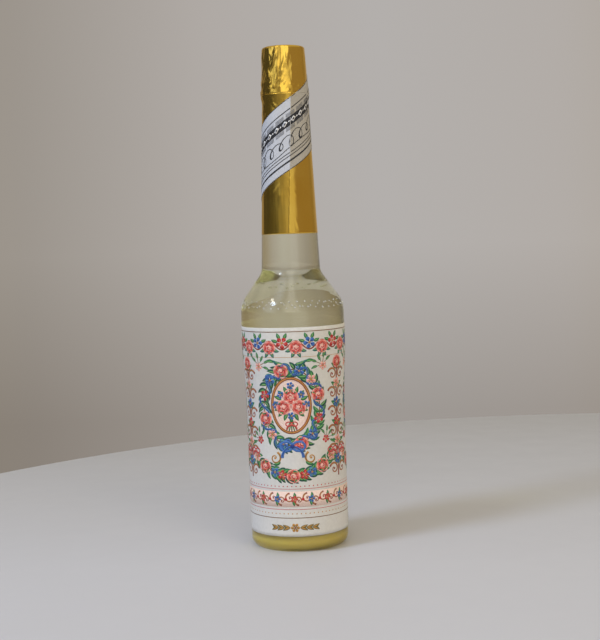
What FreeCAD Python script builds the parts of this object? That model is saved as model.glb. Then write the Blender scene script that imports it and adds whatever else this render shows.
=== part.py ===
import FreeCAD, Part
import math
import os
import re
import Sketcher

# Glass cologne bottle with a foiled screw cap, a wrap label and a paper seal strip.
# Millimetres, +Z up, origin at the middle of the base, front of the label towards -Y.

SIZES = [
    ("body_radius", 26.1, "glass radius below the waist"),
    ("belly_swell", 1.45, "how much wider the glass is under the shoulder"),
    ("belly_rise", 22, "height over which the body widens"),
    ("belly_drop", 24, "from the widest part up to the shoulder corner"),
    ("waist_blend", 0.45, "share of the widening taken by each of its two arcs"),
    ("body_height", 130, "from the base to the shoulder corner"),
    ("shoulder_rise", 16.7, "from the shoulder corner to the foot of the neck"),
    ("shoulder_round", 17, "arc at the top of the body"),
    ("neck_length", 92.5, "from the foot of the neck to its top ledge"),
    ("neck_taper", 3.65, "how much wider the neck is at its foot"),
    ("neck_foot_round", 7, "arc between shoulder and neck"),
    ("ledge_width", 3.35, "step from the neck in to the threaded finish"),
    ("ledge_round", 1, "arc at the edge of that step"),
    ("finish_radius", 8.7, "threaded finish, at the root of the thread"),
    ("finish_height", 21.9, "from the ledge to the lip"),
    ("finish_wall", 2.7, "glass between the finish and its bore"),
    ("lip_round", 0.8, "arc on the outer edge of the lip"),
    ("throat_drop", 8, "length of the funnel below the bore"),
    ("throat_round", 3, "arcs at both ends of the funnel"),
    ("body_wall", 2.2, "glass in the body"),
    ("neck_wall", 2.9, "glass in the neck"),
    ("base_wall", 2.6, "glass in the base"),
    ("heel_round", 5, "arc between base and side"),
    ("bearing_width", 4.6, "ring that the bottle stands on"),
    ("push_up", 3.5, "hollow under the base"),
    ("push_up_radius", 8, "flat middle of that hollow"),
    ("push_up_round", 6, "arc round that flat"),
    ("thread_pitch", 3.2, "rise of the thread in one turn"),
    ("thread_turns", 1.5, "length of the thread"),
    ("thread_depth", 0.9, "height of the thread ridge"),
    ("thread_root_width", 1.6, "ridge width at its root"),
    ("thread_crest_width", 0.8, "ridge width at its crest"),
    ("thread_root_sink", 0.2, "how far a ridge reaches into the wall that carries it"),
    ("thread_drop", 13.1, "from the lip down to the start of the glass thread"),
    ("thread_clearance", 0.3, "play between the two threads"),
    ("liquid_gap", 0.02, "play between liquid and glass"),
    ("fill_rise", 48, "liquid level above the foot of the neck"),
    ("label_sheet", 0.12, "thickness of the label paper"),
    ("label_foot_gap", 9.1, "from the base to the label"),
    ("label_shoulder_gap", 11.5, "from the label to the shoulder corner"),
    ("label_lap_angle", 14, "degrees of overlap where the label is glued"),
    ("foil_sheet", 0.1, "thickness of the foil"),
    ("foil_foot_gap", 20, "bare neck below the foil"),
    ("tear_gap", 0.3, "slit between the foil of the neck and that of the cap"),
    ("cap_foot_gap", 1, "from the ledge of the neck to the cap"),
    ("cap_wall", 1.15, "cap wall at its top"),
    ("cap_taper", 1.1, "how much wider the cap is at the top of its skirt"),
    ("cap_skirt", 5.3, "height of the flared skirt at the foot of the cap"),
    ("cap_flare", 0.55, "how much the skirt widens"),
    ("cap_top_wall", 1.6, "thickness of the cap's top"),
    ("cap_top_round", 1.2, "arc round the cap's top"),
    ("liner_sheet", 1.2, "thickness of the sealing disc"),
    ("liner_side_gap", 0.3, "play round the sealing disc"),
    ("seal_gap", 0.05, "play above and below the sealing disc"),
    ("flange_width", 1.8, "how far the plug's flange reaches over the lip"),
    ("flange_sheet", 0.9, "thickness of that flange"),
    ("plug_length", 9, "plug below the lip"),
    ("plug_wall", 0.9, "plug tube"),
    ("plug_web", 1.2, "floor of the plug"),
    ("plug_gap", 0.1, "play between plug tube and bore"),
    ("plug_bead_bite", 0.05, "how far the plug's sealing beads press into the bore"),
    ("plug_bead_width", 1.2, "height of one sealing bead"),
    ("plug_bead_drop", 2.2, "from the lip to the first bead, and between the beads"),
    ("pour_radius", 3, "splash hole in the plug"),
    ("strip_sheet", 0.12, "thickness of the strip paper"),
    ("strip_height", 36.8, "strip measured straight up the neck"),
    ("strip_lead", 56, "how far the strip would rise in one turn"),
    ("strip_span", 300, "degrees that the strip goes round"),
    ("strip_drop", 22.7, "from the cap's foot down to the middle of the strip at the front"),
]
FRONT = -90
FULL_TURN = 360

doc = FreeCAD.newDocument("cologne_bottle")
sheet = doc.addObject("Spreadsheet::Sheet", "Sizes")
for row, (alias, value, meaning) in enumerate(SIZES, start=1):
    sheet.set(f"A{row}", str(value))
    sheet.setAlias(f"A{row}", alias)
    sheet.set(f"B{row}", meaning)
doc.recompute()

ALIAS_WORDS = re.compile(r"\b(" + "|".join(alias for alias, _, _ in SIZES) + r")\b")


def bound(expression):
    """The expression with each size read from its cell."""
    return ALIAS_WORDS.sub(r"Sizes.\1", expression)


def measure(expression):
    """The expression's value now."""
    return float(sheet.evalExpression(bound(expression)))


# Radii and heights that several pieces share
BORE = "(finish_radius - finish_wall)"
NECK_TOP_RADIUS = "(finish_radius + ledge_width)"
NECK_FOOT_RADIUS = f"({NECK_TOP_RADIUS} + neck_taper)"
BELLY_RADIUS = "(body_radius + belly_swell)"
BEARING_RADIUS = "(body_radius - heel_round - bearing_width)"
BELLY = "(body_height - belly_drop)"
WAIST = f"({BELLY} - belly_rise)"
WAIST_ROUND = "(waist_blend * hypot(belly_rise; belly_swell) / tan(atan(belly_swell / belly_rise) / 2))"
NECK_FOOT = "(body_height + shoulder_rise)"
NECK_TOP = f"({NECK_FOOT} + neck_length)"
LIP = f"({NECK_TOP} + finish_height)"
FILL = f"({NECK_FOOT} + fill_rise)"
SHOULDER_HALF_TURN = f"(atan(({BELLY_RADIUS} - {NECK_FOOT_RADIUS}) / shoulder_rise) / 2)"
CAP_FOOT = f"({NECK_TOP} + cap_foot_gap)"
FOIL_TOP = f"({CAP_FOOT} - tear_gap)"
FOIL_FOOT = f"({NECK_FOOT} + foil_foot_gap)"
LINER_FOOT = f"({LIP} + flange_sheet + seal_gap)"
CAP_CEILING = f"({LINER_FOOT} + liner_sheet + seal_gap)"
CAP_TOP = f"({CAP_CEILING} + cap_top_wall)"
CAP_BORE = "(finish_radius + thread_depth + thread_clearance)"
CAP_TOP_RADIUS = f"({CAP_BORE} + cap_wall)"
CAP_SKIRT_RADIUS = f"({CAP_TOP_RADIUS} + cap_taper)"
CAP_FOOT_RADIUS = f"({CAP_SKIRT_RADIUS} + cap_flare)"
GLASS_THREAD_START = f"({LIP} - thread_drop)"
CAP_THREAD_START = f"({GLASS_THREAD_START} - thread_pitch / 2)"
STRIP_MIDDLE = f"({CAP_FOOT} - strip_drop)"


def neck_radius(height):
    """Outer radius of the tapered neck at a height."""
    return f"({NECK_TOP_RADIUS} + neck_taper * ({NECK_TOP} - {height}) / neck_length)"


def new_body(name):
    body = doc.addObject("PartDesign::Body", name)
    body.Label = name
    return body


def origin_plane(body, role):
    return next(plane for plane in body.Origin.OriginFeatures if plane.Role == role)


def place_point(sketch, geometry, end, across, up):
    """Tie one sketch point to its two expressions, measured from the origin."""
    for kind, axis, expression in (("DistanceX", -2, across), ("DistanceY", -1, up)):
        if measure(expression) == 0:
            sketch.addConstraint(Sketcher.Constraint("PointOnObject", geometry, end, axis))
            continue
        value = measure(expression)
        index = sketch.addConstraint(Sketcher.Constraint(kind, -1, 1, geometry, end, value))
        sketch.setExpression(f"Constraints[{index}]", bound(expression))


def rounded_corner(before, corner, after, radius):
    """Centre and two tangent points of the arc that rounds a corner."""
    inward = (before - corner).normalize()
    outward = (after - corner).normalize()
    half_opening = inward.getAngle(outward) / 2
    middle = (inward + outward).normalize()
    reach = radius / math.tan(half_opening)
    centre = corner + middle * (radius / math.sin(half_opening))
    return centre, corner + inward * reach, corner + outward * reach


def outline(body, name, corners):
    """Closed outline in the XZ plane. A corner is (across, up) or (across, up, round)."""
    sketch = body.newObject("Sketcher::SketchObject", name)
    sketch.AttachmentSupport = [(origin_plane(body, "XZ_Plane"), "")]
    sketch.MapMode = "FlatFace"
    count = len(corners)
    points = [FreeCAD.Vector(measure(corner[0]), measure(corner[1])) for corner in corners]
    starts = list(points)
    ends = list(points)
    arcs = {}
    for index, corner in enumerate(corners):
        if len(corner) == 3:
            radius = measure(corner[2])
            neighbours = points[index - 1], points[(index + 1) % count]
            centre, ends[index], starts[index] = rounded_corner(
                neighbours[0], points[index], neighbours[1], radius)
            arcs[index] = centre, radius
    for index in range(count):
        sketch.addGeometry(Part.LineSegment(starts[index], ends[(index + 1) % count]), False)
    for index, corner in enumerate(corners):
        line_in = (index - 1) % count
        if index not in arcs:
            sketch.addConstraint(Sketcher.Constraint("Coincident", line_in, 2, index, 1))
            place_point(sketch, index, 1, corner[0], corner[1])
            continue
        centre, radius = arcs[index]
        turn = (points[index] - points[index - 1]).cross(points[(index + 1) % count] - points[index]).z
        first, last = (ends[index], starts[index]) if turn > 0 else (starts[index], ends[index])
        circle = Part.Circle(centre, FreeCAD.Vector(0, 0, 1), radius)
        bend = Part.ArcOfCircle(circle, circle.parameter(first), circle.parameter(last))
        arc = sketch.addGeometry(bend, False)
        meets_in, meets_out = (1, 2) if turn > 0 else (2, 1)
        sketch.addConstraint(Sketcher.Constraint("Tangent", line_in, 2, arc, meets_in))
        sketch.addConstraint(Sketcher.Constraint("Tangent", arc, meets_out, index, 1))
        limit = sketch.addConstraint(Sketcher.Constraint("Radius", arc, radius))
        sketch.setExpression(f"Constraints[{limit}]", bound(corner[2]))
        sharp = sketch.addGeometry(Part.Point(points[index]), True)
        sketch.addConstraint(Sketcher.Constraint("PointOnObject", sharp, 1, line_in))
        sketch.addConstraint(Sketcher.Constraint("PointOnObject", sharp, 1, index))
        place_point(sketch, sharp, 1, corner[0], corner[1])
    doc.recompute()
    return sketch


def turned(body, name, corners, kind="PartDesign::Revolution", angle=str(FULL_TURN)):
    """Outline turned round the bottle's axis, adding or cutting."""
    sketch = outline(body, name + "_outline", corners)
    feature = body.newObject(kind, name)
    feature.Profile = sketch
    feature.ReferenceAxis = (sketch, ["V_Axis"])
    feature.setExpression("Angle", bound(angle))
    doc.recompute()
    return feature


def wound(body, name, corners, pitch, turns):
    """Outline carried along a right-hand helix round the bottle's axis."""
    sketch = outline(body, name + "_outline", corners)
    feature = body.newObject("PartDesign::AdditiveHelix", name)
    feature.Profile = sketch
    feature.ReferenceAxis = (sketch, ["V_Axis"])
    feature.Mode = "pitch-turns-angle"
    feature.setExpression("Pitch", bound(pitch))
    feature.setExpression("Turns", bound(turns))
    doc.recompute()
    return feature


def thread_outline(wall, crest, start, sink):
    """Thread ridge from the wall that carries it to its crest."""
    return [
        (f"{wall} {sink} thread_root_sink", f"{start} - thread_root_width / 2"),
        (wall, f"{start} - thread_root_width / 2"),
        (crest, f"{start} - thread_crest_width / 2"),
        (crest, f"{start} + thread_crest_width / 2"),
        (wall, f"{start} + thread_root_width / 2"),
        (f"{wall} {sink} thread_root_sink", f"{start} + thread_root_width / 2"),
    ]


def skin(low_to_high, sheet_name):
    """Outline of a thin sheet on a surface, given that surface's own corners."""
    outer = [(f"{corner[0]} + {sheet_name}",) + corner[1:] for corner in low_to_high]
    return outer + low_to_high[::-1]


def body_side(shift="0"):
    """Corners of the waisted body from heel to shoulder, moved across by a shift."""
    return [
        (f"body_radius + {shift}", WAIST, WAIST_ROUND),
        (f"{BELLY_RADIUS} + {shift}", BELLY, WAIST_ROUND),
    ]


def cavity(gap):
    """Corners of the inside from the base to the foot of the neck, less a gap."""
    slope = f"tan({SHOULDER_HALF_TURN})"
    neck_foot = f"({NECK_FOOT} - neck_wall * {slope})"
    return [
        ("0", f"push_up + base_wall + {gap}"),
        ("push_up_radius", f"push_up + base_wall + {gap}", "push_up_round"),
        (BEARING_RADIUS, f"base_wall + {gap}"),
        (f"body_radius - body_wall - {gap}", f"base_wall + {gap}", "heel_round"),
        *body_side(f"(-body_wall - {gap})"),
        (f"{BELLY_RADIUS} - body_wall - {gap}", f"body_height - body_wall * {slope}", "shoulder_round"),
        (f"{neck_radius(neck_foot)} - neck_wall - {gap}", neck_foot, "neck_foot_round"),
    ]


def make_glass_bottle():
    body = new_body("glass_bottle")
    turned(body, "outside", [
        ("0", "push_up"),
        ("push_up_radius", "push_up", "push_up_round"),
        (BEARING_RADIUS, "0"),
        ("body_radius", "0", "heel_round"),
        *body_side(),
        (BELLY_RADIUS, "body_height", "shoulder_round"),
        (NECK_FOOT_RADIUS, NECK_FOOT, "neck_foot_round"),
        (NECK_TOP_RADIUS, NECK_TOP, "ledge_round"),
        ("finish_radius", NECK_TOP),
        ("finish_radius", LIP, "lip_round"),
        ("0", LIP),
    ])
    solid_volume = body.Shape.Volume
    throat = f"({NECK_TOP} - throat_drop)"
    turned(body, "inside", cavity("0") + [
        (f"{neck_radius(throat)} - neck_wall", throat, "throat_round"),
        (BORE, NECK_TOP, "throat_round"),
        (BORE, LIP),
        ("0", LIP),
    ], kind="PartDesign::Groove")
    if body.Shape.Volume >= solid_volume:
        raise RuntimeError("the bottle was not hollowed")
    crest = "finish_radius + thread_depth"
    wound(body, "thread", thread_outline("finish_radius", crest, GLASS_THREAD_START, "-"),
          "thread_pitch", "thread_turns")
    return body


def make_cologne():
    body = new_body("cologne")
    turned(body, "liquid", cavity("liquid_gap") + [
        (f"{neck_radius(FILL)} - neck_wall - liquid_gap", FILL),
        ("0", FILL),
    ])
    return body


def make_body_label():
    foot = "heel_round"
    top = f"(body_height - shoulder_round * tan({SHOULDER_HALF_TURN}))"
    side = [("body_radius", foot), *body_side(), (BELLY_RADIUS, top)]
    lapped_side = [(f"{corner[0]} + label_sheet",) + corner[1:] for corner in side]
    wrap = new_body("label_wrap")
    turned(wrap, "sheet_round", skin(side, "label_sheet"))
    turned(wrap, "glued_lap", skin(lapped_side, "label_sheet"), angle="label_lap_angle")
    wrap.setExpression("Placement.Rotation.Angle", bound("90 - label_lap_angle / 2"))
    trim = doc.addObject("Part::Cylinder", "label_trim")
    trim.setExpression("Radius", bound(f"{BELLY_RADIUS} + 3 * label_sheet"))
    trim.setExpression("Height", bound("body_height - label_shoulder_gap - label_foot_gap"))
    trim.setExpression("Placement.Base.z", bound("label_foot_gap"))
    return overlap_of("body_label", wrap, trim)


def overlap_of(name, base, tool):
    """What two shapes share."""
    common = doc.addObject("Part::Common", name)
    common.Label = name
    common.Base = base
    common.Tool = tool
    doc.recompute()
    return common


def neck_line(shift):
    """The neck's surface under its foil, moved out by a shift."""
    return [
        (f"{neck_radius(FOIL_FOOT)} + {shift}", FOIL_FOOT),
        (f"{neck_radius(FOIL_TOP)} + {shift}", FOIL_TOP),
    ]


def cap_radius(height):
    """Outer radius of the cap's tapered side at a height."""
    return f"({CAP_TOP_RADIUS} + cap_taper * ({CAP_TOP} - {height}) / ({CAP_TOP} - {CAP_FOOT} - cap_skirt))"


def cap_side(shift):
    """The cap's flared skirt and the foot of its tapered side, moved out by a shift."""
    return [
        (f"{CAP_FOOT_RADIUS} + {shift}", CAP_FOOT),
        (f"{CAP_SKIRT_RADIUS} + {shift}", f"{CAP_FOOT} + cap_skirt"),
    ]


def make_neck_foil():
    body = new_body("neck_foil")
    turned(body, "foil_tube", skin(neck_line("0"), "foil_sheet"))
    return body


def make_cap_foil():
    body = new_body("cap_foil")
    top = f"({CAP_TOP} + foil_sheet)"
    turned(body, "foil_cup", [
        *cap_side("foil_sheet"),
        (f"{cap_radius(top)} + foil_sheet", top, "cap_top_round + foil_sheet"),
        ("0", top),
        ("0", CAP_TOP),
        (CAP_TOP_RADIUS, CAP_TOP, "cap_top_round"),
        *cap_side("0")[::-1],
    ])
    return body


def make_screw_cap():
    body = new_body("screw_cap")
    turned(body, "shell", [
        *cap_side("0"),
        (CAP_TOP_RADIUS, CAP_TOP, "cap_top_round"),
        ("0", CAP_TOP),
        ("0", CAP_CEILING),
        (CAP_BORE, CAP_CEILING),
        (CAP_BORE, CAP_FOOT),
    ])
    crest = "finish_radius + thread_clearance"
    wound(body, "thread", thread_outline(CAP_BORE, crest, CAP_THREAD_START, "+"),
          "thread_pitch", "thread_turns")
    return body


def make_cap_liner():
    body = new_body("cap_liner")
    edge = f"{CAP_BORE} - liner_side_gap"
    turned(body, "disc", [
        ("0", LINER_FOOT),
        (edge, LINER_FOOT),
        (edge, f"{LINER_FOOT} + liner_sheet"),
        ("0", f"{LINER_FOOT} + liner_sheet"),
    ])
    return body


def make_orifice_reducer():
    body = new_body("orifice_reducer")
    tube = f"({BORE} - plug_gap)"
    floor = f"({LIP} - plug_length)"
    flange_top = f"{LIP} + flange_sheet"
    turned(body, "plug", [
        ("pour_radius", floor),
        (tube, floor),
        (tube, LIP),
        (f"{BORE} + flange_width", LIP),
        (f"{BORE} + flange_width", flange_top),
        (f"{tube} - plug_wall", flange_top),
        (f"{tube} - plug_wall", f"{floor} + plug_web"),
        ("pour_radius", f"{floor} + plug_web"),
    ])
    for number in (1, 2):
        middle = f"({LIP} - {number} * plug_bead_drop)"
        turned(body, f"bead_{number}", [
            (f"{tube} - plug_wall / 2", f"{middle} - plug_bead_width / 2"),
            (tube, f"{middle} - plug_bead_width / 2"),
            (f"{BORE} + plug_bead_bite", f"{middle} - plug_bead_width / 6"),
            (f"{BORE} + plug_bead_bite", f"{middle} + plug_bead_width / 6"),
            (tube, f"{middle} + plug_bead_width / 2"),
            (f"{tube} - plug_wall / 2", f"{middle} + plug_bead_width / 2"),
        ])
    return body


def make_strip_path():
    """Thick helical ramp whose overlap with a thin skin is the diagonal strip."""
    ramp = new_body("strip_path")
    start = f"({STRIP_MIDDLE} - strip_lead * strip_span / 2 / {FULL_TURN})"
    wound(ramp, "strip_ramp", [
        ("finish_radius", f"{start} - strip_height / 2"),
        (f"{NECK_FOOT_RADIUS} + cap_taper", f"{start} - strip_height / 2"),
        (f"{NECK_FOOT_RADIUS} + cap_taper", f"{start} + strip_height / 2"),
        ("finish_radius", f"{start} + strip_height / 2"),
    ], "strip_lead", f"strip_span / {FULL_TURN}")
    ramp.setExpression("Placement.Rotation.Angle", bound(f"{FRONT} - strip_span / 2"))
    return ramp


def make_seal_strip(path):
    sleeve = new_body("strip_sleeve")
    turned(sleeve, "sleeve_tube", skin(neck_line("foil_sheet"), "strip_sheet"))
    return overlap_of("seal_strip", sleeve, path)


def make_seal_strip_tab(path):
    sleeve = new_body("tab_sleeve")
    side = cap_side("foil_sheet")
    edge = f"({CAP_TOP} - cap_top_round)"
    side.append((f"{cap_radius(edge)} + foil_sheet", edge))
    turned(sleeve, "sleeve_tube", skin(side, "strip_sheet"))
    return overlap_of("seal_strip_tab", sleeve, path)


strip_path = make_strip_path()
SUB_PARTS = [
    make_glass_bottle(),
    make_cologne(),
    make_body_label(),
    make_neck_foil(),
    make_cap_foil(),
    make_screw_cap(),
    make_cap_liner(),
    make_orifice_reducer(),
    make_seal_strip(strip_path),
    make_seal_strip_tab(strip_path),
]
doc.recompute()

for item in doc.Objects:
    if {"Invalid", "Error"} & set(item.State):
        raise RuntimeError(f"{item.Label} failed: {item.State}")
for part in SUB_PARTS:
    if part.Shape.isNull() or not part.Shape.isValid():
        raise RuntimeError(f"{part.Label} has no valid shape")

os.makedirs("parts", exist_ok=True)
for part in SUB_PARTS:
    part.Shape.exportStep(f"parts/{part.Label}.step")
    print(f"{part.Label}: {len(part.Shape.Solids)} solid, {part.Shape.Volume:.1f} mm3")
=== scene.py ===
# %% [markdown]
# # A splash bottle dressed in glass, foil and paper
#
# The CAD frame fixes every size and place of this bottle. This script dresses that frame: clear
# glass with a pale liquid in it, gold foil on the neck and on the cap, a printed strip wound over
# both, and a printed paper label round the body. Heights and radii are written in millimetres, as
# on a workshop drawing, and become metres when a mesh is made.

# %% Load the frame
import math
import random

import bmesh
import bpy
import numpy as np
from mathutils import Matrix, Vector


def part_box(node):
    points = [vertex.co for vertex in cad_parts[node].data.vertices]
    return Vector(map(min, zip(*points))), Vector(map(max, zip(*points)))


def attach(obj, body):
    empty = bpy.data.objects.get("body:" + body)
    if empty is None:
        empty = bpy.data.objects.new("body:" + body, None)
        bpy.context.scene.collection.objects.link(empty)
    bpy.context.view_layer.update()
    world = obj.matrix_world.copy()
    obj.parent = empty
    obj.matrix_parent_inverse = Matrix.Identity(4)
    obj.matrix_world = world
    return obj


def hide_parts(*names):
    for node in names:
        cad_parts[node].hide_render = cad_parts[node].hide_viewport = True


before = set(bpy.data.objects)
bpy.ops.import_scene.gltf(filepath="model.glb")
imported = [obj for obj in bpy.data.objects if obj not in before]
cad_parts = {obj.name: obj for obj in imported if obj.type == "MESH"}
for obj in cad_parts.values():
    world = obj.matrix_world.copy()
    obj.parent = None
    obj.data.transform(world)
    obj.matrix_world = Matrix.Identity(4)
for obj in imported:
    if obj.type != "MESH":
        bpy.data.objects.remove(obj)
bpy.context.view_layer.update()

MM = 0.001

# %% [markdown]
# ## The camera
#
# The bottle is seen from a little above its middle, and the camera is tilted slightly to one side,
# so the bottle leans in the picture although it stands upright. The tilt is a turn about the line
# of sight. It could be set as a third Euler angle, but as a matrix the order of the turns is plain.

# %% Camera
IMAGE_SIDES = (600, 640)
FOCAL_PIXELS = 1278
SENSOR_SIDE = 36.0
CAMERA_PLACE = (0.0039, -0.6834, 0.1667)
LOOK_DOWN = math.radians(3.87)
TILT = math.radians(-2.0)


def new_object(name, data):
    """An object for a mesh, a lamp or a camera, put into the scene."""
    thing = bpy.data.objects.new(name, data)
    bpy.context.scene.collection.objects.link(thing)
    return thing


camera_data = bpy.data.cameras.new("camera")
camera_data.sensor_width = SENSOR_SIDE
camera_data.lens = FOCAL_PIXELS * SENSOR_SIDE / max(IMAGE_SIDES)
camera = new_object("camera", camera_data)
aim = Matrix.Rotation(math.radians(90) - LOOK_DOWN, 4, "X") @ Matrix.Rotation(TILT, 4, "Z")
camera.matrix_world = Matrix.Translation(CAMERA_PLACE) @ aim
bpy.context.scene.camera = camera
bpy.context.scene.view_settings.view_transform = "Standard"
print("Camera lens in mm:", round(camera_data.lens, 2))

# %% [markdown]
# ## Small helpers for node trees and colours
#
# Materials and Geometry Nodes are both trees of nodes. One short helper that adds a node, fills
# its inputs and gives back an output keeps the recipes below readable. Colours are written as they
# would be picked in a paint program, and turned into the linear values that Blender works with.

# %% Helpers for trees and colours
def wire(tree, kind, inputs=None, out=0, **settings):
    """Adds a node, sets or links its inputs, and gives back one output socket."""
    made = tree.nodes.new(kind)
    for key, value in settings.items():
        setattr(made, key, value)
    for key, value in (inputs or {}).items():
        if isinstance(value, bpy.types.NodeSocket):
            tree.links.new(value, made.inputs[key])
        else:
            made.inputs[key].default_value = value
    return made.outputs[out]


def maths(tree, operation, *values):
    """A Math node on sockets or plain numbers."""
    return wire(tree, "ShaderNodeMath", dict(enumerate(values)), operation=operation)


def between(tree, value, low, high, to_low, to_high):
    """Maps a value from one range to another, and stops at the ends."""
    return wire(tree, "ShaderNodeMapRange", {0: value, 1: low, 2: high, 3: to_low, 4: to_high})


def apart(tree, vector):
    """The three numbers of a vector, as outputs named X, Y and Z."""
    made = tree.nodes.new("ShaderNodeSeparateXYZ")
    tree.links.new(vector, made.inputs[0])
    return made.outputs


def blend(tree, factor, first, second, how="MIX"):
    """Mixes two colours."""
    return wire(
        tree, "ShaderNodeMix", {"Factor": factor, 6: first, 7: second}, 2, data_type="RGBA", blend_type=how)


def paint(red, green, blue):
    """A colour as picked in a paint program, 0 to 255, in linear values."""
    def linear(level):
        level = level / 255
        return level / 12.92 if level <= 0.04045 else ((level + 0.055) / 1.055) ** 2.4
    return (linear(red), linear(green), linear(blue), 1.0)


print("Mid grey in linear values:", round(paint(128, 128, 128)[0], 3))

# %% [markdown]
# ## Small helpers for finishes
#
# Every finish here starts from the Principled shader. What is the same all over a piece is set on
# the shader itself. What varies comes from noise on the piece's own coordinates, so that a pattern
# stays in place when the piece moves.

# %% Helpers for finishes
def finish(name, values):
    """A material whose shader has the given values all over."""
    material = bpy.data.materials.new(name)
    material.use_nodes = True
    tree = material.node_tree
    shader = tree.nodes["Principled BSDF"]
    for title, value in values.items():
        shader.inputs[title].default_value = value
    return material, tree, shader


def own_place(tree):
    """Where a point lies in the piece's own coordinates."""
    return wire(tree, "ShaderNodeTexCoord", out="Object")


def grain(tree, scale, detail=3.0, stretch=(1.0, 1.0, 1.0)):
    """Noise on the piece's own coordinates; the scale is in cycles per metre."""
    place = wire(tree, "ShaderNodeMapping", {"Vector": own_place(tree), "Scale": stretch})
    return wire(tree, "ShaderNodeTexNoise", {"Vector": place, "Scale": scale, "Detail": detail})


def ramp(tree, factor, *stops):
    """A colour ramp; each stop is a place from 0 to 1 and a colour."""
    made = tree.nodes.new("ShaderNodeValToRGB")
    points = made.color_ramp.elements
    while len(points) < len(stops):
        points.new(0.5)
    for point, (place, colour) in zip(points, stops):
        point.position = place
        point.color = colour
    tree.links.new(factor, made.inputs["Fac"])
    return made.outputs["Color"]


def emboss(tree, shader, height, depth, strength=1.0):
    """Bump from a height field; the depth is in millimetres."""
    normal = wire(tree, "ShaderNodeBump", {"Height": height, "Distance": depth * MM, "Strength": strength})
    tree.links.new(normal, shader.inputs["Normal"])


def mottle(tree, shader, factor, first, second):
    """Base colour that drifts between two paints."""
    colour = ramp(tree, factor, (0.3, first), (0.7, second))
    tree.links.new(colour, shader.inputs["Base Color"])


def polish(tree, shader, factor, low, high):
    """Roughness that drifts between two values."""
    tree.links.new(between(tree, factor, 0.3, 0.7, low, high), shader.inputs["Roughness"])


def pass_lamps(tree, shader, tint):
    """Lets light from lamps through a clear piece, tinted, so that what is behind it is lit."""
    clear = wire(tree, "ShaderNodeBsdfTransparent", {"Color": tint})
    from_lamp = wire(tree, "ShaderNodeLightPath", out="Is Shadow Ray")
    either = wire(tree, "ShaderNodeMixShader", {0: from_lamp, 1: shader.outputs[0], 2: clear})
    tree.links.new(either, tree.nodes["Material Output"].inputs["Surface"])


print("Finish helpers ready")

# %% [markdown]
# ## Turning on a lathe, with Geometry Nodes
#
# Most pieces of this bottle are turned: one outline, spun about the upright axis. A Screw modifier
# could do it. A node tree does it as well, and it can also raise the screw thread on the mouth,
# because a thread is a rule: its height climbs by one pitch in one turn. The tree takes the outline
# as a row of points, makes a grid with one row per point, and bends the grid round the axis.

# %% A new Geometry Nodes tree and how it is applied
def new_tree(name, sockets):
    """A Geometry Nodes tree with named inputs; gives back the tree and its inputs by name."""
    tree = bpy.data.node_groups.new(name, "GeometryNodeTree")
    tree.interface.new_socket("Geometry", in_out="OUTPUT", socket_type="NodeSocketGeometry")
    for title, kind in sockets:
        tree.interface.new_socket(title, in_out="INPUT", socket_type="NodeSocket" + kind)
    given = tree.nodes.new("NodeGroupInput")
    return tree, {title: given.outputs[title] for title, kind in sockets}


def end_tree(tree, geometry, material):
    """Closes a tree: smooth shading, real geometry, and the finish."""
    geometry = wire(tree, "GeometryNodeRealizeInstances", {"Geometry": geometry})
    geometry = wire(tree, "GeometryNodeSetShadeSmooth", {"Geometry": geometry})
    geometry = wire(tree, "GeometryNodeSetMaterial", {"Geometry": geometry, "Material": material})
    tree.links.new(geometry, tree.nodes.new("NodeGroupOutput").inputs[0])


def grow(thing, tree, values):
    """Runs a tree on an object with the given inputs, and keeps the result as a plain mesh."""
    modifier = thing.modifiers.new(tree.name, "NODES")
    modifier.node_group = tree
    for item in tree.interface.items_tree:
        if item.item_type == "SOCKET" and item.in_out == "INPUT" and item.name in values:
            modifier[item.identifier] = values[item.name]
    bpy.context.view_layer.update()
    evaluated = thing.evaluated_get(bpy.context.evaluated_depsgraph_get())
    mesh = bpy.data.meshes.new_from_object(evaluated)
    thing.modifiers.clear()
    thing.data = mesh
    mesh.name = thing.name
    return thing


print("Tree helpers ready")

# %% The lathe tree
THREAD_FADE = 0.03
LATHE_WELD = 0.001


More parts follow.
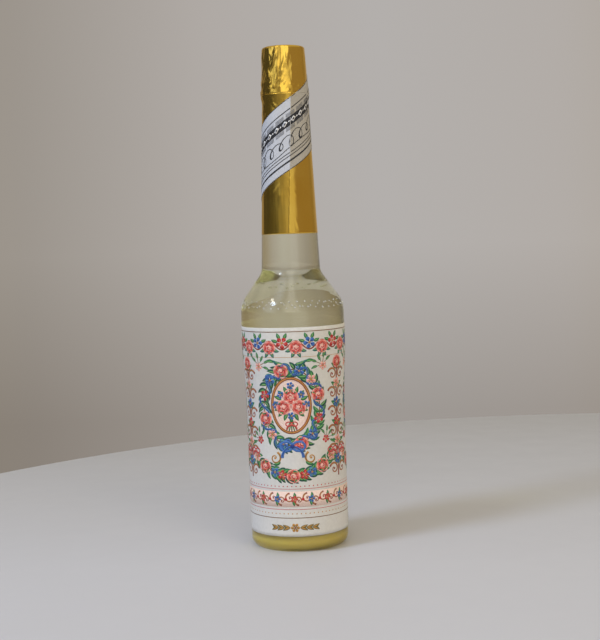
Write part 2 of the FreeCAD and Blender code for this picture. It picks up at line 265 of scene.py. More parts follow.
def lathe_tree():
    """Spins an outline about the axis, and raises a screw thread on it where one is asked for."""
    tree, given = new_tree("lathe", [
        ("Outline", "Geometry"), ("Segments", "Int"), ("Material", "Material"),
        ("Thread Core", "Float"), ("Thread Depth", "Float"), ("Thread Start", "Float"),
        ("Thread Pitch", "Float"), ("Thread Turns", "Float"), ("Thread Root", "Float"),
        ("Thread Crest", "Float")])
    rings = wire(tree, "GeometryNodeAttributeDomainSize", {"Geometry": given["Outline"]}, "Point Count")
    columns = maths(tree, "ADD", given["Segments"], 1)
    grid = wire(tree, "GeometryNodeMeshGrid", {"Vertices X": columns, "Vertices Y": rings, "Size X": 1.0})
    ring = maths(tree, "FLOORED_MODULO", wire(tree, "GeometryNodeInputIndex"), rings)
    place = wire(tree, "GeometryNodeInputPosition")
    sampled = wire(
        tree, "GeometryNodeSampleIndex", {"Geometry": given["Outline"], "Value": place, "Index": ring},
        data_type="FLOAT_VECTOR")
    profile = apart(tree, sampled)
    radius, height = profile["X"], profile["Z"]
    turn = maths(tree, "ADD", apart(tree, place)["X"], 0.5)
    climbed = maths(tree, "SUBTRACT", height, given["Thread Start"])
    climbed = maths(tree, "DIVIDE", climbed, given["Thread Pitch"])
    whole = maths(tree, "ROUND", maths(tree, "SUBTRACT", climbed, turn))
    along = maths(tree, "ADD", turn, whole)
    aside = maths(tree, "ABSOLUTE", maths(tree, "SUBTRACT", climbed, along))
    aside = maths(tree, "MULTIPLY", aside, given["Thread Pitch"])
    ridge = between(tree, aside, given["Thread Crest"], given["Thread Root"], 1.0, 0.0)
    left = maths(tree, "MINIMUM", along, maths(tree, "SUBTRACT", given["Thread Turns"], along))
    fade = between(tree, left, -THREAD_FADE, THREAD_FADE, 0.0, 1.0)
    outside = maths(tree, "GREATER_THAN", radius, given["Thread Core"])
    lift = maths(tree, "MULTIPLY", maths(tree, "MULTIPLY", ridge, fade), outside)
    radius = maths(tree, "ADD", radius, maths(tree, "MULTIPLY", lift, given["Thread Depth"]))
    angle = maths(tree, "MULTIPLY", turn, math.tau)
    bent = wire(tree, "ShaderNodeCombineXYZ", {
        "X": maths(tree, "MULTIPLY", radius, maths(tree, "COSINE", angle)),
        "Y": maths(tree, "MULTIPLY", radius, maths(tree, "SINE", angle)),
        "Z": height})
    spun = wire(tree, "GeometryNodeSetPosition", {"Geometry": grid, "Position": bent})
    spun = wire(tree, "GeometryNodeMergeByDistance", {"Geometry": spun, "Distance": LATHE_WELD * MM})
    end_tree(tree, spun, given["Material"])
    return tree


LATHE = lathe_tree()
print("Lathe tree:", len(LATHE.nodes), "nodes")

# %% Outlines with rounded corners
ARC_STEP = math.radians(6)
LEAST_ARC_STEPS = 6


def rounded(corners):
    """Outline points (radius, height) in mm; a corner's third number is its rounding."""
    points = []
    for number, corner in enumerate(corners):
        here = Vector(corner[:2])
        if len(corner) == 2:
            points.append(here)
            continue
        size = corner[2]
        back = (Vector(corners[number - 1][:2]) - here).normalized()
        ahead = (Vector(corners[number + 1][:2]) - here).normalized()
        half = back.angle(ahead) / 2
        centre = here + (back + ahead).normalized() * (size / math.sin(half))
        first = here + back * (size / math.tan(half)) - centre
        last = here + ahead * (size / math.tan(half)) - centre
        start = math.atan2(first.y, first.x)
        swing = (math.atan2(last.y, last.x) - start + math.pi) % math.tau - math.pi
        count = max(LEAST_ARC_STEPS, math.ceil(abs(swing) / ARC_STEP))
        angles = [start + swing * step / count for step in range(count + 1)]
        points += [centre + Vector((math.cos(angle), math.sin(angle))) * size for angle in angles]
    return points


def divided(points, longest):
    """The same outline with its long runs cut into shorter ones."""
    result = [points[0]]
    for here, there in zip(points, points[1:]):
        count = max(1, math.ceil((there - here).length / longest))
        result += [here.lerp(there, step / count) for step in range(1, count + 1)]
    return result


def outline_object(name, points):
    """An object whose mesh is only the outline's points, in metres, in the XZ plane."""
    mesh = bpy.data.meshes.new(name)
    mesh.from_pydata([(point.x * MM, 0, point.y * MM) for point in points], [], [])
    return new_object(name, mesh)


def turned(name, points, segments, material, thread=None):
    """A turned piece; the outline runs up the outside, so that its faces point outwards."""
    values = {"Segments": segments, "Material": material, "Thread Pitch": 1.0}
    values.update(thread or {})
    return grow(outline_object(name, points), LATHE, values)


print("Outline helpers ready")

# %% [markdown]
# ## The table and the wall
#
# The bottle stands on a round pale table, in front of a plain wall. The table is one more turned
# piece, so that its far edge curves in the picture. The wall only has to be seen, also through the
# glass, so it is a plane that gives off its own soft grey.

# %% Table
TABLE_CENTRE = Vector((0.2, -0.104, 0.0))
TABLE_RADIUS = 544
TABLE_THICKNESS = 22
TABLE_EDGE_ROUND = 4
TABLE_RUN = 60
TABLE_SEGMENTS = 256
SHADE_REACH = 0.45

table_paint, tree, shader = finish("table_paint", {"Specular IOR Level": 0.3})
# Painted shade: the table's colour darkens from near to far, as the light falls off towards the back.
across = apart(tree, own_place(tree))["Y"]
drift = maths(tree, "ADD", across, maths(tree, "MULTIPLY", grain(tree, 6.0), 0.1))
painted_falloff = ramp(
    tree, between(tree, drift, -SHADE_REACH, SHADE_REACH, 0.0, 1.0),
    (0.0, paint(209, 209, 216)), (0.5, paint(210, 210, 215)), (1.0, paint(192, 190, 189)))
tree.links.new(painted_falloff, shader.inputs["Base Color"])
polish(tree, shader, grain(tree, 40.0), 0.42, 0.55)
table_outline = rounded([
    (0, -TABLE_THICKNESS), (TABLE_RADIUS, -TABLE_THICKNESS, TABLE_EDGE_ROUND),
    (TABLE_RADIUS, 0, TABLE_EDGE_ROUND), (0, 0)])
table = turned("table", divided(table_outline, TABLE_RUN), TABLE_SEGMENTS, table_paint)
table.data.transform(Matrix.Translation(TABLE_CENTRE))
print("Table radius in mm:", TABLE_RADIUS)

# %% Wall
WALL_DISTANCE = 1.6
WALL_HALF_WIDTH = 3.0
WALL_LOW, WALL_HIGH = -1.5, 2.5
DIM_LOW, DIM_HIGH = -0.16, 0.14

wall_mesh = bpy.data.meshes.new("wall")
wall_mesh.from_pydata(
    [(-WALL_HALF_WIDTH, WALL_DISTANCE, WALL_LOW), (WALL_HALF_WIDTH, WALL_DISTANCE, WALL_LOW),
     (WALL_HALF_WIDTH, WALL_DISTANCE, WALL_HIGH), (-WALL_HALF_WIDTH, WALL_DISTANCE, WALL_HIGH)],
    [], [(0, 1, 2, 3)])
wall = new_object("wall", wall_mesh)
wall_grey = bpy.data.materials.new("wall_grey")
wall_grey.use_nodes = True
tree = wall_grey.node_tree
tree.nodes.remove(tree.nodes["Principled BSDF"])
place = apart(tree, own_place(tree))
# Painted light and shade: the wall's glow is brightest just behind the bottle, darker to both sides and most
# on the left, and darker towards the bottom.
shade = ramp(
    tree, between(tree, place["X"], -WALL_HALF_WIDTH, WALL_HALF_WIDTH, 0.0, 1.0),
    (0.0, paint(54, 52, 52)), (0.14, paint(62, 59, 57)), (0.25, paint(138, 128, 108)),
    (0.35, paint(152, 142, 124)), (0.42, paint(156, 149, 141)), (0.475, paint(175, 169, 164)),
    (0.525, paint(179, 175, 172)), (0.58, paint(178, 172, 167)), (0.65, paint(168, 157, 138)),
    (0.75, paint(158, 145, 120)), (1.0, paint(130, 117, 94)))
painted_low_shade = ramp(
    tree, between(tree, place["Z"], DIM_LOW, DIM_HIGH, 0.0, 1.0),
    (0.0, (0.76, 0.74, 0.72, 1)), (1.0, (1, 1, 1, 1)))
shade = blend(tree, 1.0, shade, painted_low_shade, "MULTIPLY")
glow = wire(tree, "ShaderNodeEmission", {"Color": shade})
tree.links.new(glow, tree.nodes["Material Output"].inputs["Surface"])
wall_mesh.materials.append(wall_grey)
print("Wall stands", WALL_DISTANCE, "m behind the bottle")

# %% [markdown]
# ## The light
#
# Foil and glass show the room around them more than their own colour. So the world is a soft room:
# bright behind the camera, cool and dim on the left, warm and dim on the right, with two bright panes
# for the foil to mirror. Three soft lamps do the rest: a cool window at the upper left that throws the
# shadow, a small lamp beside it for the glints on the glass, and a warm one at the right that fills in.
# An image of a real room could light all this, but a few named values are easier to change.

# %% Room light
CEILING = (0.50, 0.46, 0.36, 1)
CEILING_FROM, CEILING_FULL = 0.30, 0.65
# A pane is its place on the round from 0 to 1, its half width and its light.
PANES = ((0.497, 0.05, (1.3, 1.25, 1.12, 1)), (0.345, 0.04, (0.92, 0.98, 1.12, 1)))
PANE_FROM, PANE_FULL = 0.16, 0.24
PANE_BLUR = 0.02

room = bpy.data.worlds.new("room")
bpy.context.scene.world = room
room.use_nodes = True
tree = room.node_tree
direction = apart(tree, wire(tree, "ShaderNodeTexCoord", out="Generated"))
toward = maths(tree, "MULTIPLY", direction["Y"], -1.0)
bearing = maths(tree, "ARCTAN2", direction["X"], toward)
turn = between(tree, bearing, -math.pi, math.pi, 0.0, 1.0)
walls = ramp(
    tree, turn,
    (0.0, (0.20, 0.20, 0.20, 1)), (0.22, (0.06, 0.06, 0.07, 1)), (0.34, (0.09, 0.09, 0.10, 1)),
    (0.40, (0.26, 0.25, 0.25, 1)), (0.49, (0.32, 0.30, 0.28, 1)), (0.512, (0.60, 0.58, 0.55, 1)),
    (0.580, (0.60, 0.57, 0.53, 1)), (0.61, (0.30, 0.24, 0.19, 1)), (0.83, (0.30, 0.24, 0.18, 1)),
    (1.0, (0.20, 0.20, 0.20, 1)))
upward = between(tree, direction["Z"], CEILING_FROM, CEILING_FULL, 0.0, 1.0)
glow = blend(tree, upward, walls, CEILING)
high = between(tree, direction["Z"], PANE_FROM, PANE_FULL, 0.0, 1.0)
for pane_turn, half_width, light in PANES:
    sideways = maths(tree, "ABSOLUTE", maths(tree, "SUBTRACT", turn, pane_turn))
    pane = between(tree, sideways, half_width - PANE_BLUR, half_width + PANE_BLUR, 1.0, 0.0)
    glow = blend(tree, maths(tree, "MULTIPLY", pane, high), glow, light)
tree.links.new(glow, tree.nodes["Background"].inputs["Color"])
print("Room light with", len(PANES), "panes")

# %% Lamps
LAMP_AIM = Vector((0, 0, 0.12))
BOUNCES = 24


def soft_lamp(name, place, size, watts, colour):
    """A round lamp that points at the bottle's lower half."""
    data = bpy.data.lights.new(name, "AREA")
    data.shape = "DISK"
    data.size = size
    data.energy = watts
    data.color = colour
    lamp = new_object(name, data)
    lamp.location = place
    lamp.rotation_euler = (LAMP_AIM - Vector(place)).to_track_quat("-Z", "Y").to_euler()
    return lamp


window_lamp = soft_lamp("window_lamp", (-0.995, -0.67, 1.18), 0.36, 9.9, (0.61, 0.74, 1.0))
window_lamp.visible_glossy = False
soft_lamp("ceiling_lamp", (-0.88, -0.43, 1.27), 0.15, 0.7, (1.0, 0.95, 0.85))
warm_lamp = soft_lamp("warm_lamp", (0.62, -1.05, 0.7), 0.7, 3.8, (1.0, 0.85, 0.60))
warm_lamp.visible_glossy = False
warm_lamp.visible_transmission = False
bpy.context.scene.cycles.max_bounces = BOUNCES
bpy.context.scene.cycles.transmission_bounces = BOUNCES
print("Three soft lamps, and light that may bounce", BOUNCES, "times inside the bottle")

# %% [markdown]
# ## The glass
#
# The bottle is blown into a mould: a body with a slight waist, a conical shoulder, a long tapered
# neck and a threaded mouth under the cap. The same corners that the CAD solid has are rounded here
# with many more points, so that the glass bends light without facets. The thread comes from the
# lathe tree's thread inputs.

# %% Glass outline
BASE_RADIUS, BELLY_RADIUS = 26.1, 27.55
WAIST_FOOT, WAIST_TOP, SHOULDER = 84.0, 106.0, 130.0
WAIST_RISE, SWELL = WAIST_TOP - WAIST_FOOT, BELLY_RADIUS - BASE_RADIUS
WAIST_BLEND = 0.45
WAIST_ROUND = WAIST_BLEND * math.hypot(WAIST_RISE, SWELL) / math.tan(math.atan(SWELL / WAIST_RISE) / 2)
NECK_FOOT, NECK_FOOT_RADIUS = 146.7, 15.7
NECK_TOP, NECK_TOP_RADIUS = 239.2, 12.05
MOUTH_RADIUS, BORE_RADIUS, LIP = 8.7, 6.0, 261.1
THROAT, THROAT_RADIUS, THROAT_ROUND = 231.2, 9.466, 3
INNER_FOOT, INNER_FOOT_RADIUS, NECK_FOOT_ROUND = 145.78, 12.84, 7
INNER_SHOULDER, SHOULDER_ROUND, INNER_SHOULDER_ROUND = 129.3, 17, 15
DOME, DOME_EDGE, DOME_ROUND, RING = 3.5, 8.0, 6, 16.5
HEEL_ROUND, INNER_HEEL_ROUND = 5, 4
LEDGE_ROUND, LIP_ROUND = 1, 0.8
WALL, FLOOR = 2.2, 2.6
INNER_BELLY, INNER_BASE = BELLY_RADIUS - WALL, BASE_RADIUS - WALL
THREAD_LOW, THREAD_HIGH, THREAD_RUN = 246.0, 255.0, 0.25
LIP_FOOT = 255.5
GLASS_SEGMENTS = 288

glass_outside = [
    (0, DOME), (DOME_EDGE, DOME, DOME_ROUND), (RING, 0), (BASE_RADIUS, 0, HEEL_ROUND),
    (BASE_RADIUS, WAIST_FOOT, WAIST_ROUND), (BELLY_RADIUS, WAIST_TOP, WAIST_ROUND),
    (BELLY_RADIUS, SHOULDER, SHOULDER_ROUND), (NECK_FOOT_RADIUS, NECK_FOOT, NECK_FOOT_ROUND),
    (NECK_TOP_RADIUS, NECK_TOP, LEDGE_ROUND), (MOUTH_RADIUS, NECK_TOP)]
mouth = divided([Vector((MOUTH_RADIUS, THREAD_LOW)), Vector((MOUTH_RADIUS, THREAD_HIGH))], THREAD_RUN)
lip = [(MOUTH_RADIUS, LIP_FOOT), (MOUTH_RADIUS, LIP, LIP_ROUND), (BORE_RADIUS, LIP)]
glass_inside = [
    (BORE_RADIUS, LIP), (BORE_RADIUS, NECK_TOP, THROAT_ROUND), (THROAT_RADIUS, THROAT, THROAT_ROUND),
    (INNER_FOOT_RADIUS, INNER_FOOT, NECK_FOOT_ROUND), (INNER_BELLY, INNER_SHOULDER, INNER_SHOULDER_ROUND),
    (INNER_BELLY, WAIST_TOP, WAIST_ROUND), (INNER_BASE, WAIST_FOOT, WAIST_ROUND),
    (INNER_BASE, FLOOR, INNER_HEEL_ROUND), (RING, FLOOR), (DOME_EDGE, DOME + FLOOR, DOME_ROUND),
    (0, DOME + FLOOR)]
outside_points = divided(rounded(glass_outside), 4.0)
inside_points = divided(rounded(glass_inside), 6.0)[1:]
glass_points = outside_points + mouth + rounded(lip) + inside_points
print("Glass outline points:", len(glass_points))

# %% [markdown]
# Clear glass needs little colour: a trace of green, and the slow ripple that a mould leaves, which
# shows as wavering lines in what is seen through it. The ripple is bump, because it is far too
# shallow to see on the outline. Under the base the glass is stippled, as on many bottles. That is
# roughness in one place, found from the height above the hollow base and the distance from the axis.

# %% Clear glass
STIPPLE = 0.55
STIPPLE_FULL, STIPPLE_END = 21.0, 23.0

clear_glass, tree, shader = finish("clear_glass", {
    "Base Color": (1.0, 0.997, 0.985, 1), "Transmission Weight": 1.0, "IOR": 1.5})
emboss(tree, shader, grain(tree, 55.0, 1.0), 0.12, 0.35)
where = own_place(tree)
level = wire(tree, "ShaderNodeVectorMath", {0: where, 1: (1.0, 1.0, 0.0)}, operation="MULTIPLY")
from_axis = wire(tree, "ShaderNodeVectorMath", {0: level}, "Value", operation="LENGTH")
dome = between(tree, from_axis, DOME_EDGE * MM, RING * MM, DOME * MM, 0.0)
above = maths(tree, "SUBTRACT", apart(tree, where)["Z"], dome)
under = maths(
    tree, "MULTIPLY", between(tree, above, 0.3 * FLOOR * MM, 0.5 * FLOOR * MM, STIPPLE, 0.0),
    between(tree, from_axis, STIPPLE_FULL * MM, STIPPLE_END * MM, 1.0, 0.0))
clean = between(tree, grain(tree, 70.0), 0.3, 0.7, 0.0, 0.02)
tree.links.new(maths(tree, "ADD", clean, under), shader.inputs["Roughness"])
pass_lamps(tree, shader, (0.96, 0.96, 0.94, 1))
glass = turned("bottle_glass", glass_points, GLASS_SEGMENTS, clear_glass, {
    "Thread Core": 8.6 * MM, "Thread Depth": 0.9 * MM, "Thread Start": 248.0 * MM,
    "Thread Pitch": 3.2 * MM, "Thread Turns": 1.5, "Thread Root": 0.8 * MM, "Thread Crest": 0.4 * MM})
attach(glass, "bottle")
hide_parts("glass_bottle")
low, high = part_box("glass_bottle")
print("Glass height in mm:", round(max(v.co.z for v in glass.data.vertices) / MM, 2),
      "and in the CAD:", round(high.z / MM, 2))

# %% [markdown]
# ## Beads on the shoulder
#
# A ring of small raised beads is moulded into the shoulder and sparkles there. They could be placed
# by a loop, but a node tree keeps them on the glass by itself: it walks round the axis, sends a ray
# inwards at every step, and sets a bead where the ray meets the glass, turned to face outwards.

# %% The tree that sets beads on glass
REACH = 0.1
BEAD_PHASE = 2.2
LEAST_BEAD = 0.55


def cast_inward(tree, target, angle, height):
    """A ray from outside to the axis, at an angle and a height; gives back the ray's outputs."""
    cosine, sine = maths(tree, "COSINE", angle), maths(tree, "SINE", angle)
    far = wire(tree, "ShaderNodeCombineXYZ", {
        "X": maths(tree, "MULTIPLY", cosine, REACH), "Y": maths(tree, "MULTIPLY", sine, REACH), "Z": height})
    inward = wire(tree, "ShaderNodeCombineXYZ", {
        "X": maths(tree, "MULTIPLY", cosine, -1.0), "Y": maths(tree, "MULTIPLY", sine, -1.0)})
    shape = wire(tree, "GeometryNodeObjectInfo", {"Object": target}, "Geometry")
    ray = tree.nodes.new("GeometryNodeRaycast")
    for title, value in (("Target Geometry", shape), ("Source Position", far), ("Ray Direction", inward)):
        tree.links.new(value, ray.inputs[title])
    ray.inputs["Ray Length"].default_value = REACH
    return ray.outputs


def bead_tree():
    """Beads in a wavy ring round the axis, each set on the glass."""
    tree, given = new_tree("shoulder_beads", [
        ("Bead", "Geometry"), ("Glass", "Object"), ("Material", "Material"), ("Count", "Int"),
        ("Height", "Float"), ("Sway", "Float"), ("Bead Size", "Float"), ("Seed", "Int")])
    line = wire(tree, "GeometryNodeMeshLine", {"Count": given["Count"]})
    number = wire(tree, "GeometryNodeInputIndex")
    angle = maths(tree, "MULTIPLY", maths(tree, "DIVIDE", number, given["Count"]), math.tau)
    side = maths(tree, "SINE", maths(tree, "MULTIPLY", number, BEAD_PHASE))
    height = maths(tree, "ADD", given["Height"], maths(tree, "MULTIPLY", side, given["Sway"]))
    ray = cast_inward(tree, given["Glass"], angle, height)
    placed = wire(tree, "GeometryNodeSetPosition", {"Geometry": line, "Position": ray["Hit Position"]})
    facing = wire(tree, "FunctionNodeAlignRotationToVector", {"Vector": ray["Hit Normal"]})
    share = wire(tree, "FunctionNodeRandomValue", {2: LEAST_BEAD, 3: 1.0, "Seed": given["Seed"]}, 1)
    size = maths(tree, "MULTIPLY", share, given["Bead Size"])
    beads = wire(tree, "GeometryNodeInstanceOnPoints", {
        "Points": placed, "Instance": given["Bead"], "Rotation": facing, "Scale": size})
    end_tree(tree, beads, given["Material"])
    return tree


BEADS = bead_tree()
print("Bead tree:", len(BEADS.nodes), "nodes")

# %% Shoulder beads
BEAD_COUNT, BEAD_SIZE, BEAD_HEIGHT, BEAD_SWAY = 120, 0.58, 130.2, 1.7
FLATNESS = 0.7

# Etched glass and painted glints: the beads' share of diffuse white stands in for the glints of light on
# them.
etched_glass, tree, shader = finish("etched_glass", {
    "Base Color": (1.0, 1.0, 0.97, 1), "Transmission Weight": 0.6, "IOR": 1.5})
polish(tree, shader, grain(tree, 800.0), 0.12, 0.3)
shape = bmesh.new()
bmesh.ops.create_icosphere(shape, subdivisions=2, radius=1.0)
bmesh.ops.scale(shape, vec=(1.0, 1.0, FLATNESS), verts=shape.verts)
bead_mesh = bpy.data.meshes.new("shoulder_beads")
shape.to_mesh(bead_mesh)
shape.free()
beads = new_object("shoulder_beads", bead_mesh)
grow(beads, BEADS, {
    "Glass": glass, "Material": etched_glass, "Count": BEAD_COUNT, "Height": BEAD_HEIGHT * MM,
    "Sway": BEAD_SWAY * MM, "Bead Size": BEAD_SIZE * MM, "Seed": 4})
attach(beads, "bottle")
print("Beads on the shoulder:", BEAD_COUNT)

# %% [markdown]
# ## The liquid
#
# The cologne is a clear pale yellow. Its colour comes from depth, as in a real liquid: blue light is
# taken out along the way, so the wide body looks stronger than the thin neck. At the heel the liquid
# has a painted glow: a share of olive-yellow diffuse colour there stands in for the light that the paper
# lets in and the table sends back up. The mesh reaches a little into the glass wall, because a gap of
# air there would mirror like silver.

# %% Liquid
FILL_LEVEL = 194.7
INTO_GLASS = 0.15
FILL_SHARE = (THROAT - FILL_LEVEL) / (THROAT - INNER_FOOT)
FILL_RADIUS = THROAT_RADIUS + (INNER_FOOT_RADIUS - THROAT_RADIUS) * FILL_SHARE
MENISCUS = 1.1
GLOW_LOW, GLOW_HIGH = 9.0, 15.0
GLOW_DRIFT = 2.0
CLEAR, HEEL_CLEAR = 1.0, 0.22
LIQUID_SEGMENTS = 192

cologne_yellow, tree, shader = finish("cologne_yellow", {"IOR": 1.36, "Roughness": 0.0})
# Painted glow: near the heel the liquid turns partly into olive-yellow diffuse colour, which stands in for
# light that reaches the heel through the paper and from the table.
above = apart(tree, own_place(tree))["Z"]
drift = maths(tree, "ADD", above, maths(tree, "MULTIPLY", grain(tree, 90.0), GLOW_DRIFT * MM))
painted_heel_glow = between(tree, drift, GLOW_LOW * MM, GLOW_HIGH * MM, 1.0, 0.0)
tint = ramp(tree, painted_heel_glow, (0.0, (0.98, 0.972, 0.905, 1)), (1.0, (0.92, 0.73, 0.14, 1)))
tree.links.new(tint, shader.inputs["Base Color"])
tree.links.new(between(tree, painted_heel_glow, 0.0, 1.0, CLEAR, HEEL_CLEAR), shader.inputs["Transmission Weight"])
pass_lamps(tree, shader, (0.88, 0.84, 0.58, 1))
absorb = wire(tree, "ShaderNodeVolumeAbsorption", {"Color": (0.92, 0.87, 0.10, 1), "Density": 7.0})
tree.links.new(absorb, tree.nodes["Material Output"].inputs["Volume"])
wet_wall = [
    (0, DOME + FLOOR - INTO_GLASS), (DOME_EDGE, DOME + FLOOR - INTO_GLASS, DOME_ROUND),
    (RING, FLOOR - INTO_GLASS), (INNER_BASE + INTO_GLASS, FLOOR - INTO_GLASS, INNER_HEEL_ROUND),
    (INNER_BASE + INTO_GLASS, WAIST_FOOT, WAIST_ROUND), (INNER_BELLY + INTO_GLASS, WAIST_TOP, WAIST_ROUND),
    (INNER_BELLY + INTO_GLASS, INNER_SHOULDER, INNER_SHOULDER_ROUND),
    (INNER_FOOT_RADIUS + INTO_GLASS, INNER_FOOT, NECK_FOOT_ROUND),
    (FILL_RADIUS + INTO_GLASS, FILL_LEVEL + MENISCUS), (FILL_RADIUS - 0.2, FILL_LEVEL + 0.5),
    (FILL_RADIUS - MENISCUS, FILL_LEVEL, 0.8), (0, FILL_LEVEL)]
liquid = turned("liquid", divided(rounded(wet_wall), 5.0), LIQUID_SEGMENTS, cologne_yellow)
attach(liquid, "bottle")
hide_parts("cologne")
print("Liquid stands", FILL_LEVEL, "mm high")

# %% [markdown]
# ## Skins: sheets with a thickness
#
# Foil, strip and label are thin sheets that lie on other pieces. Each is made from two grids of
# points, an outer and an inner face, joined round the rim, so that it is a closed skin. NumPy works
# out all the points of a grid at once.

# %% Skin helper
FRONT = -math.pi / 2
SKIN_WELD = 0.0005


def skin(name, outer, inner, material, all_round):
    """A closed sheet from two grids of (radius, angle, height) in mm and radians."""
    rows, columns = outer[0].shape
    points = []
    for radius, angle, height in (outer, inner):
        points.append(np.stack([radius * np.cos(angle), radius * np.sin(angle), height], -1).reshape(-1, 3))
    number = np.arange(rows * columns).reshape(rows, columns)
    if all_round:
        number = np.hstack([number, number[:, :1]])
    under = number + rows * columns
    def quads(a, b, c, d):
        return np.stack([a.ravel(), b.ravel(), c.ravel(), d.ravel()], -1)
    faces = [
        quads(number[:-1, :-1], number[:-1, 1:], number[1:, 1:], number[1:, :-1]),
        quads(under[1:, :-1], under[1:, 1:], under[:-1, 1:], under[:-1, :-1]),
        quads(number[0, 1:], number[0, :-1], under[0, :-1], under[0, 1:]),
        quads(number[-1, :-1], number[-1, 1:], under[-1, 1:], under[-1, :-1])]
    if not all_round:
        faces.append(quads(number[:-1, 0], number[1:, 0], under[1:, 0], under[:-1, 0]))
        faces.append(quads(number[1:, -1], number[:-1, -1], under[:-1, -1], under[1:, -1]))
    mesh = bpy.data.meshes.new(name)
    mesh.from_pydata((np.concatenate(points) * MM).tolist(), [], np.concatenate(faces).tolist())
    shape = bmesh.new()
    shape.from_mesh(mesh)
    bmesh.ops.remove_doubles(shape, verts=shape.verts, dist=SKIN_WELD * MM)
    for face in shape.faces:
        face.smooth = True
    shape.to_mesh(mesh)
    shape.free()
    mesh.materials.append(material)
    return new_object(name, mesh)


def aside(angle, line):
    """Signed angle from a line on the round, between minus and plus half a turn."""
    return (angle - line + math.pi) % math.tau - math.pi


def tent(offset, width):
    """A sharp ridge: 1 on the line, 0 at the width and beyond."""
    return np.clip(1.0 - np.abs(offset) / width, 0.0, 1.0)


print("Skin helper ready")

# %% [markdown]
# ## The gold foil
#
# The foil is a metal skin wrapped round the neck and drawn over the cap by hand. It has one long lap
# near the front, fine upright creases, and small dents where it was pressed over the cap's edge. The
# creases are geometry, each a narrow ridge with its own place, lean and reach from a seeded draw.

# %% Gold foil finish
def gold_finish(name, smoothest, roughest, depth):
    material, tree, shader = finish(name, {"Metallic": 1.0})
    streaks = grain(tree, 420.0, 3.0, (1.0, 1.0, 0.06))
    mottle(tree, shader, grain(tree, 60.0), (0.88, 0.55, 0.08, 1), (0.94, 0.62, 0.11, 1))
    polish(tree, shader, streaks, smoothest, roughest)
    emboss(tree, shader, maths(tree, "ADD", streaks, grain(tree, 260.0, 2.0)), depth, 0.5)
    return material


gold_foil = gold_finish("gold_foil", 0.10, 0.25, 0.07)
cap_gold = gold_finish("cap_gold", 0.08, 0.22, 0.10)
print("Gold foil finishes ready")

# %% Creases of a hand-pressed foil
FOIL_FOOT, FOIL_TOP = 166.7, 240.1
FOLD_TOP, FOLD_FOOT = FRONT + math.radians(13), FRONT + math.radians(-2)
FOLD_LEFT, FOLD_RIGHT, FOLD_LAYER = math.radians(30), math.radians(42), math.radians(60)
FOLD_HEIGHT, LAYER_STEP = 0.35, 0.16


def creases(angle, height, seed, count, low, high, size, width, reach, slant=0.006):
    """Adds up narrow ridges; size, width and reach are (least, most), and slant is the steepest lean."""
    draw = random.Random(seed)
    lift = np.zeros_like(angle)
    for _ in range(count):
        line = draw.uniform(0, math.tau)
        middle = draw.uniform(low, high)
        lean = draw.uniform(-slant, slant)
        ridge = tent(aside(angle, line + lean * (height - middle)), math.radians(draw.uniform(*width)))
        lift += draw.uniform(*size) * ridge * tent(height - middle, draw.uniform(*reach))
    return lift


def from_fold(angle, height):
    """Signed angle from the long lap near the front, which leans to the left on its way down."""
    share = (NECK_TOP - height) / (NECK_TOP - FOIL_FOOT)
    return aside(angle, FOLD_TOP + (FOLD_FOOT - FOLD_TOP) * share)


def fold(angle, height):
    """The lap: a blunt ridge, and the upper layer's edge as a small step."""
    offset = from_fold(angle, height)
    ridge = np.where(offset < 0, tent(offset, FOLD_LEFT), tent(offset, FOLD_RIGHT))
    layer = np.where(offset > 0, tent(offset, FOLD_LAYER), 0.0)
    return FOLD_HEIGHT * ridge + LAYER_STEP * layer


def neck_radius(height):
    """The glass neck is a cone."""
    share = (NECK_TOP - height) / (NECK_TOP - NECK_FOOT)
    return NECK_TOP_RADIUS + (NECK_FOOT_RADIUS - NECK_TOP_RADIUS) * share


print("Fold leans over", round(math.degrees(FOLD_TOP - FOLD_FOOT), 1), "degrees of the round")

# %% Where the strip will press on the foil
STRIP_MIDDLE, STRIP_LEAD, STRIP_HEIGHT = 217.5, 56.0, 36.8
STRIP_SPAN = math.radians(150)
STRIP_MARGIN = 1.5


def strip_rise(angle):
    """The strip climbs evenly round the neck, like a helix with a long lead."""
    return STRIP_LEAD * aside(angle, FRONT) / math.tau


def pressed(angle, height):
    """1 where the strip holds the foil flat, 0 away from the strip."""
    beyond = np.abs(height - STRIP_MIDDLE - strip_rise(angle)) - STRIP_HEIGHT / 2
    return np.clip(1.0 - beyond / STRIP_MARGIN, 0.0, 1.0) * (np.abs(aside(angle, FRONT)) < STRIP_SPAN)


print("Strip covers", STRIP_HEIGHT, "mm of the neck's height")

# %% Neck foil
FOIL_THICKNESS = 0.1
SUNK = 0.04
FOIL_COLUMNS = 360
NECK_ROWS = 136
CAP_FOOT, CAP_LEDGE, CAP_TOP = 240.2, 245.5, 264.9
CAP_FOOT_RADIUS, CAP_LEDGE_RADIUS, CAP_TOP_RADIUS = 12.7, 12.15, 11.05
FLARE_FOOT = 234.5
CRUMPLE_DROP = 11
DENTED_SIDE, DENTED_REACH = FRONT + math.radians(-25), math.radians(75)


def flare(height):
    """The foil bridges from the neck out to the wider foot of the cap."""
    share = np.clip((height - FLARE_FOOT) / (CAP_FOOT - FLARE_FOOT), 0.0, 1.0)
    return (CAP_FOOT_RADIUS - NECK_TOP_RADIUS) * share ** 1.5


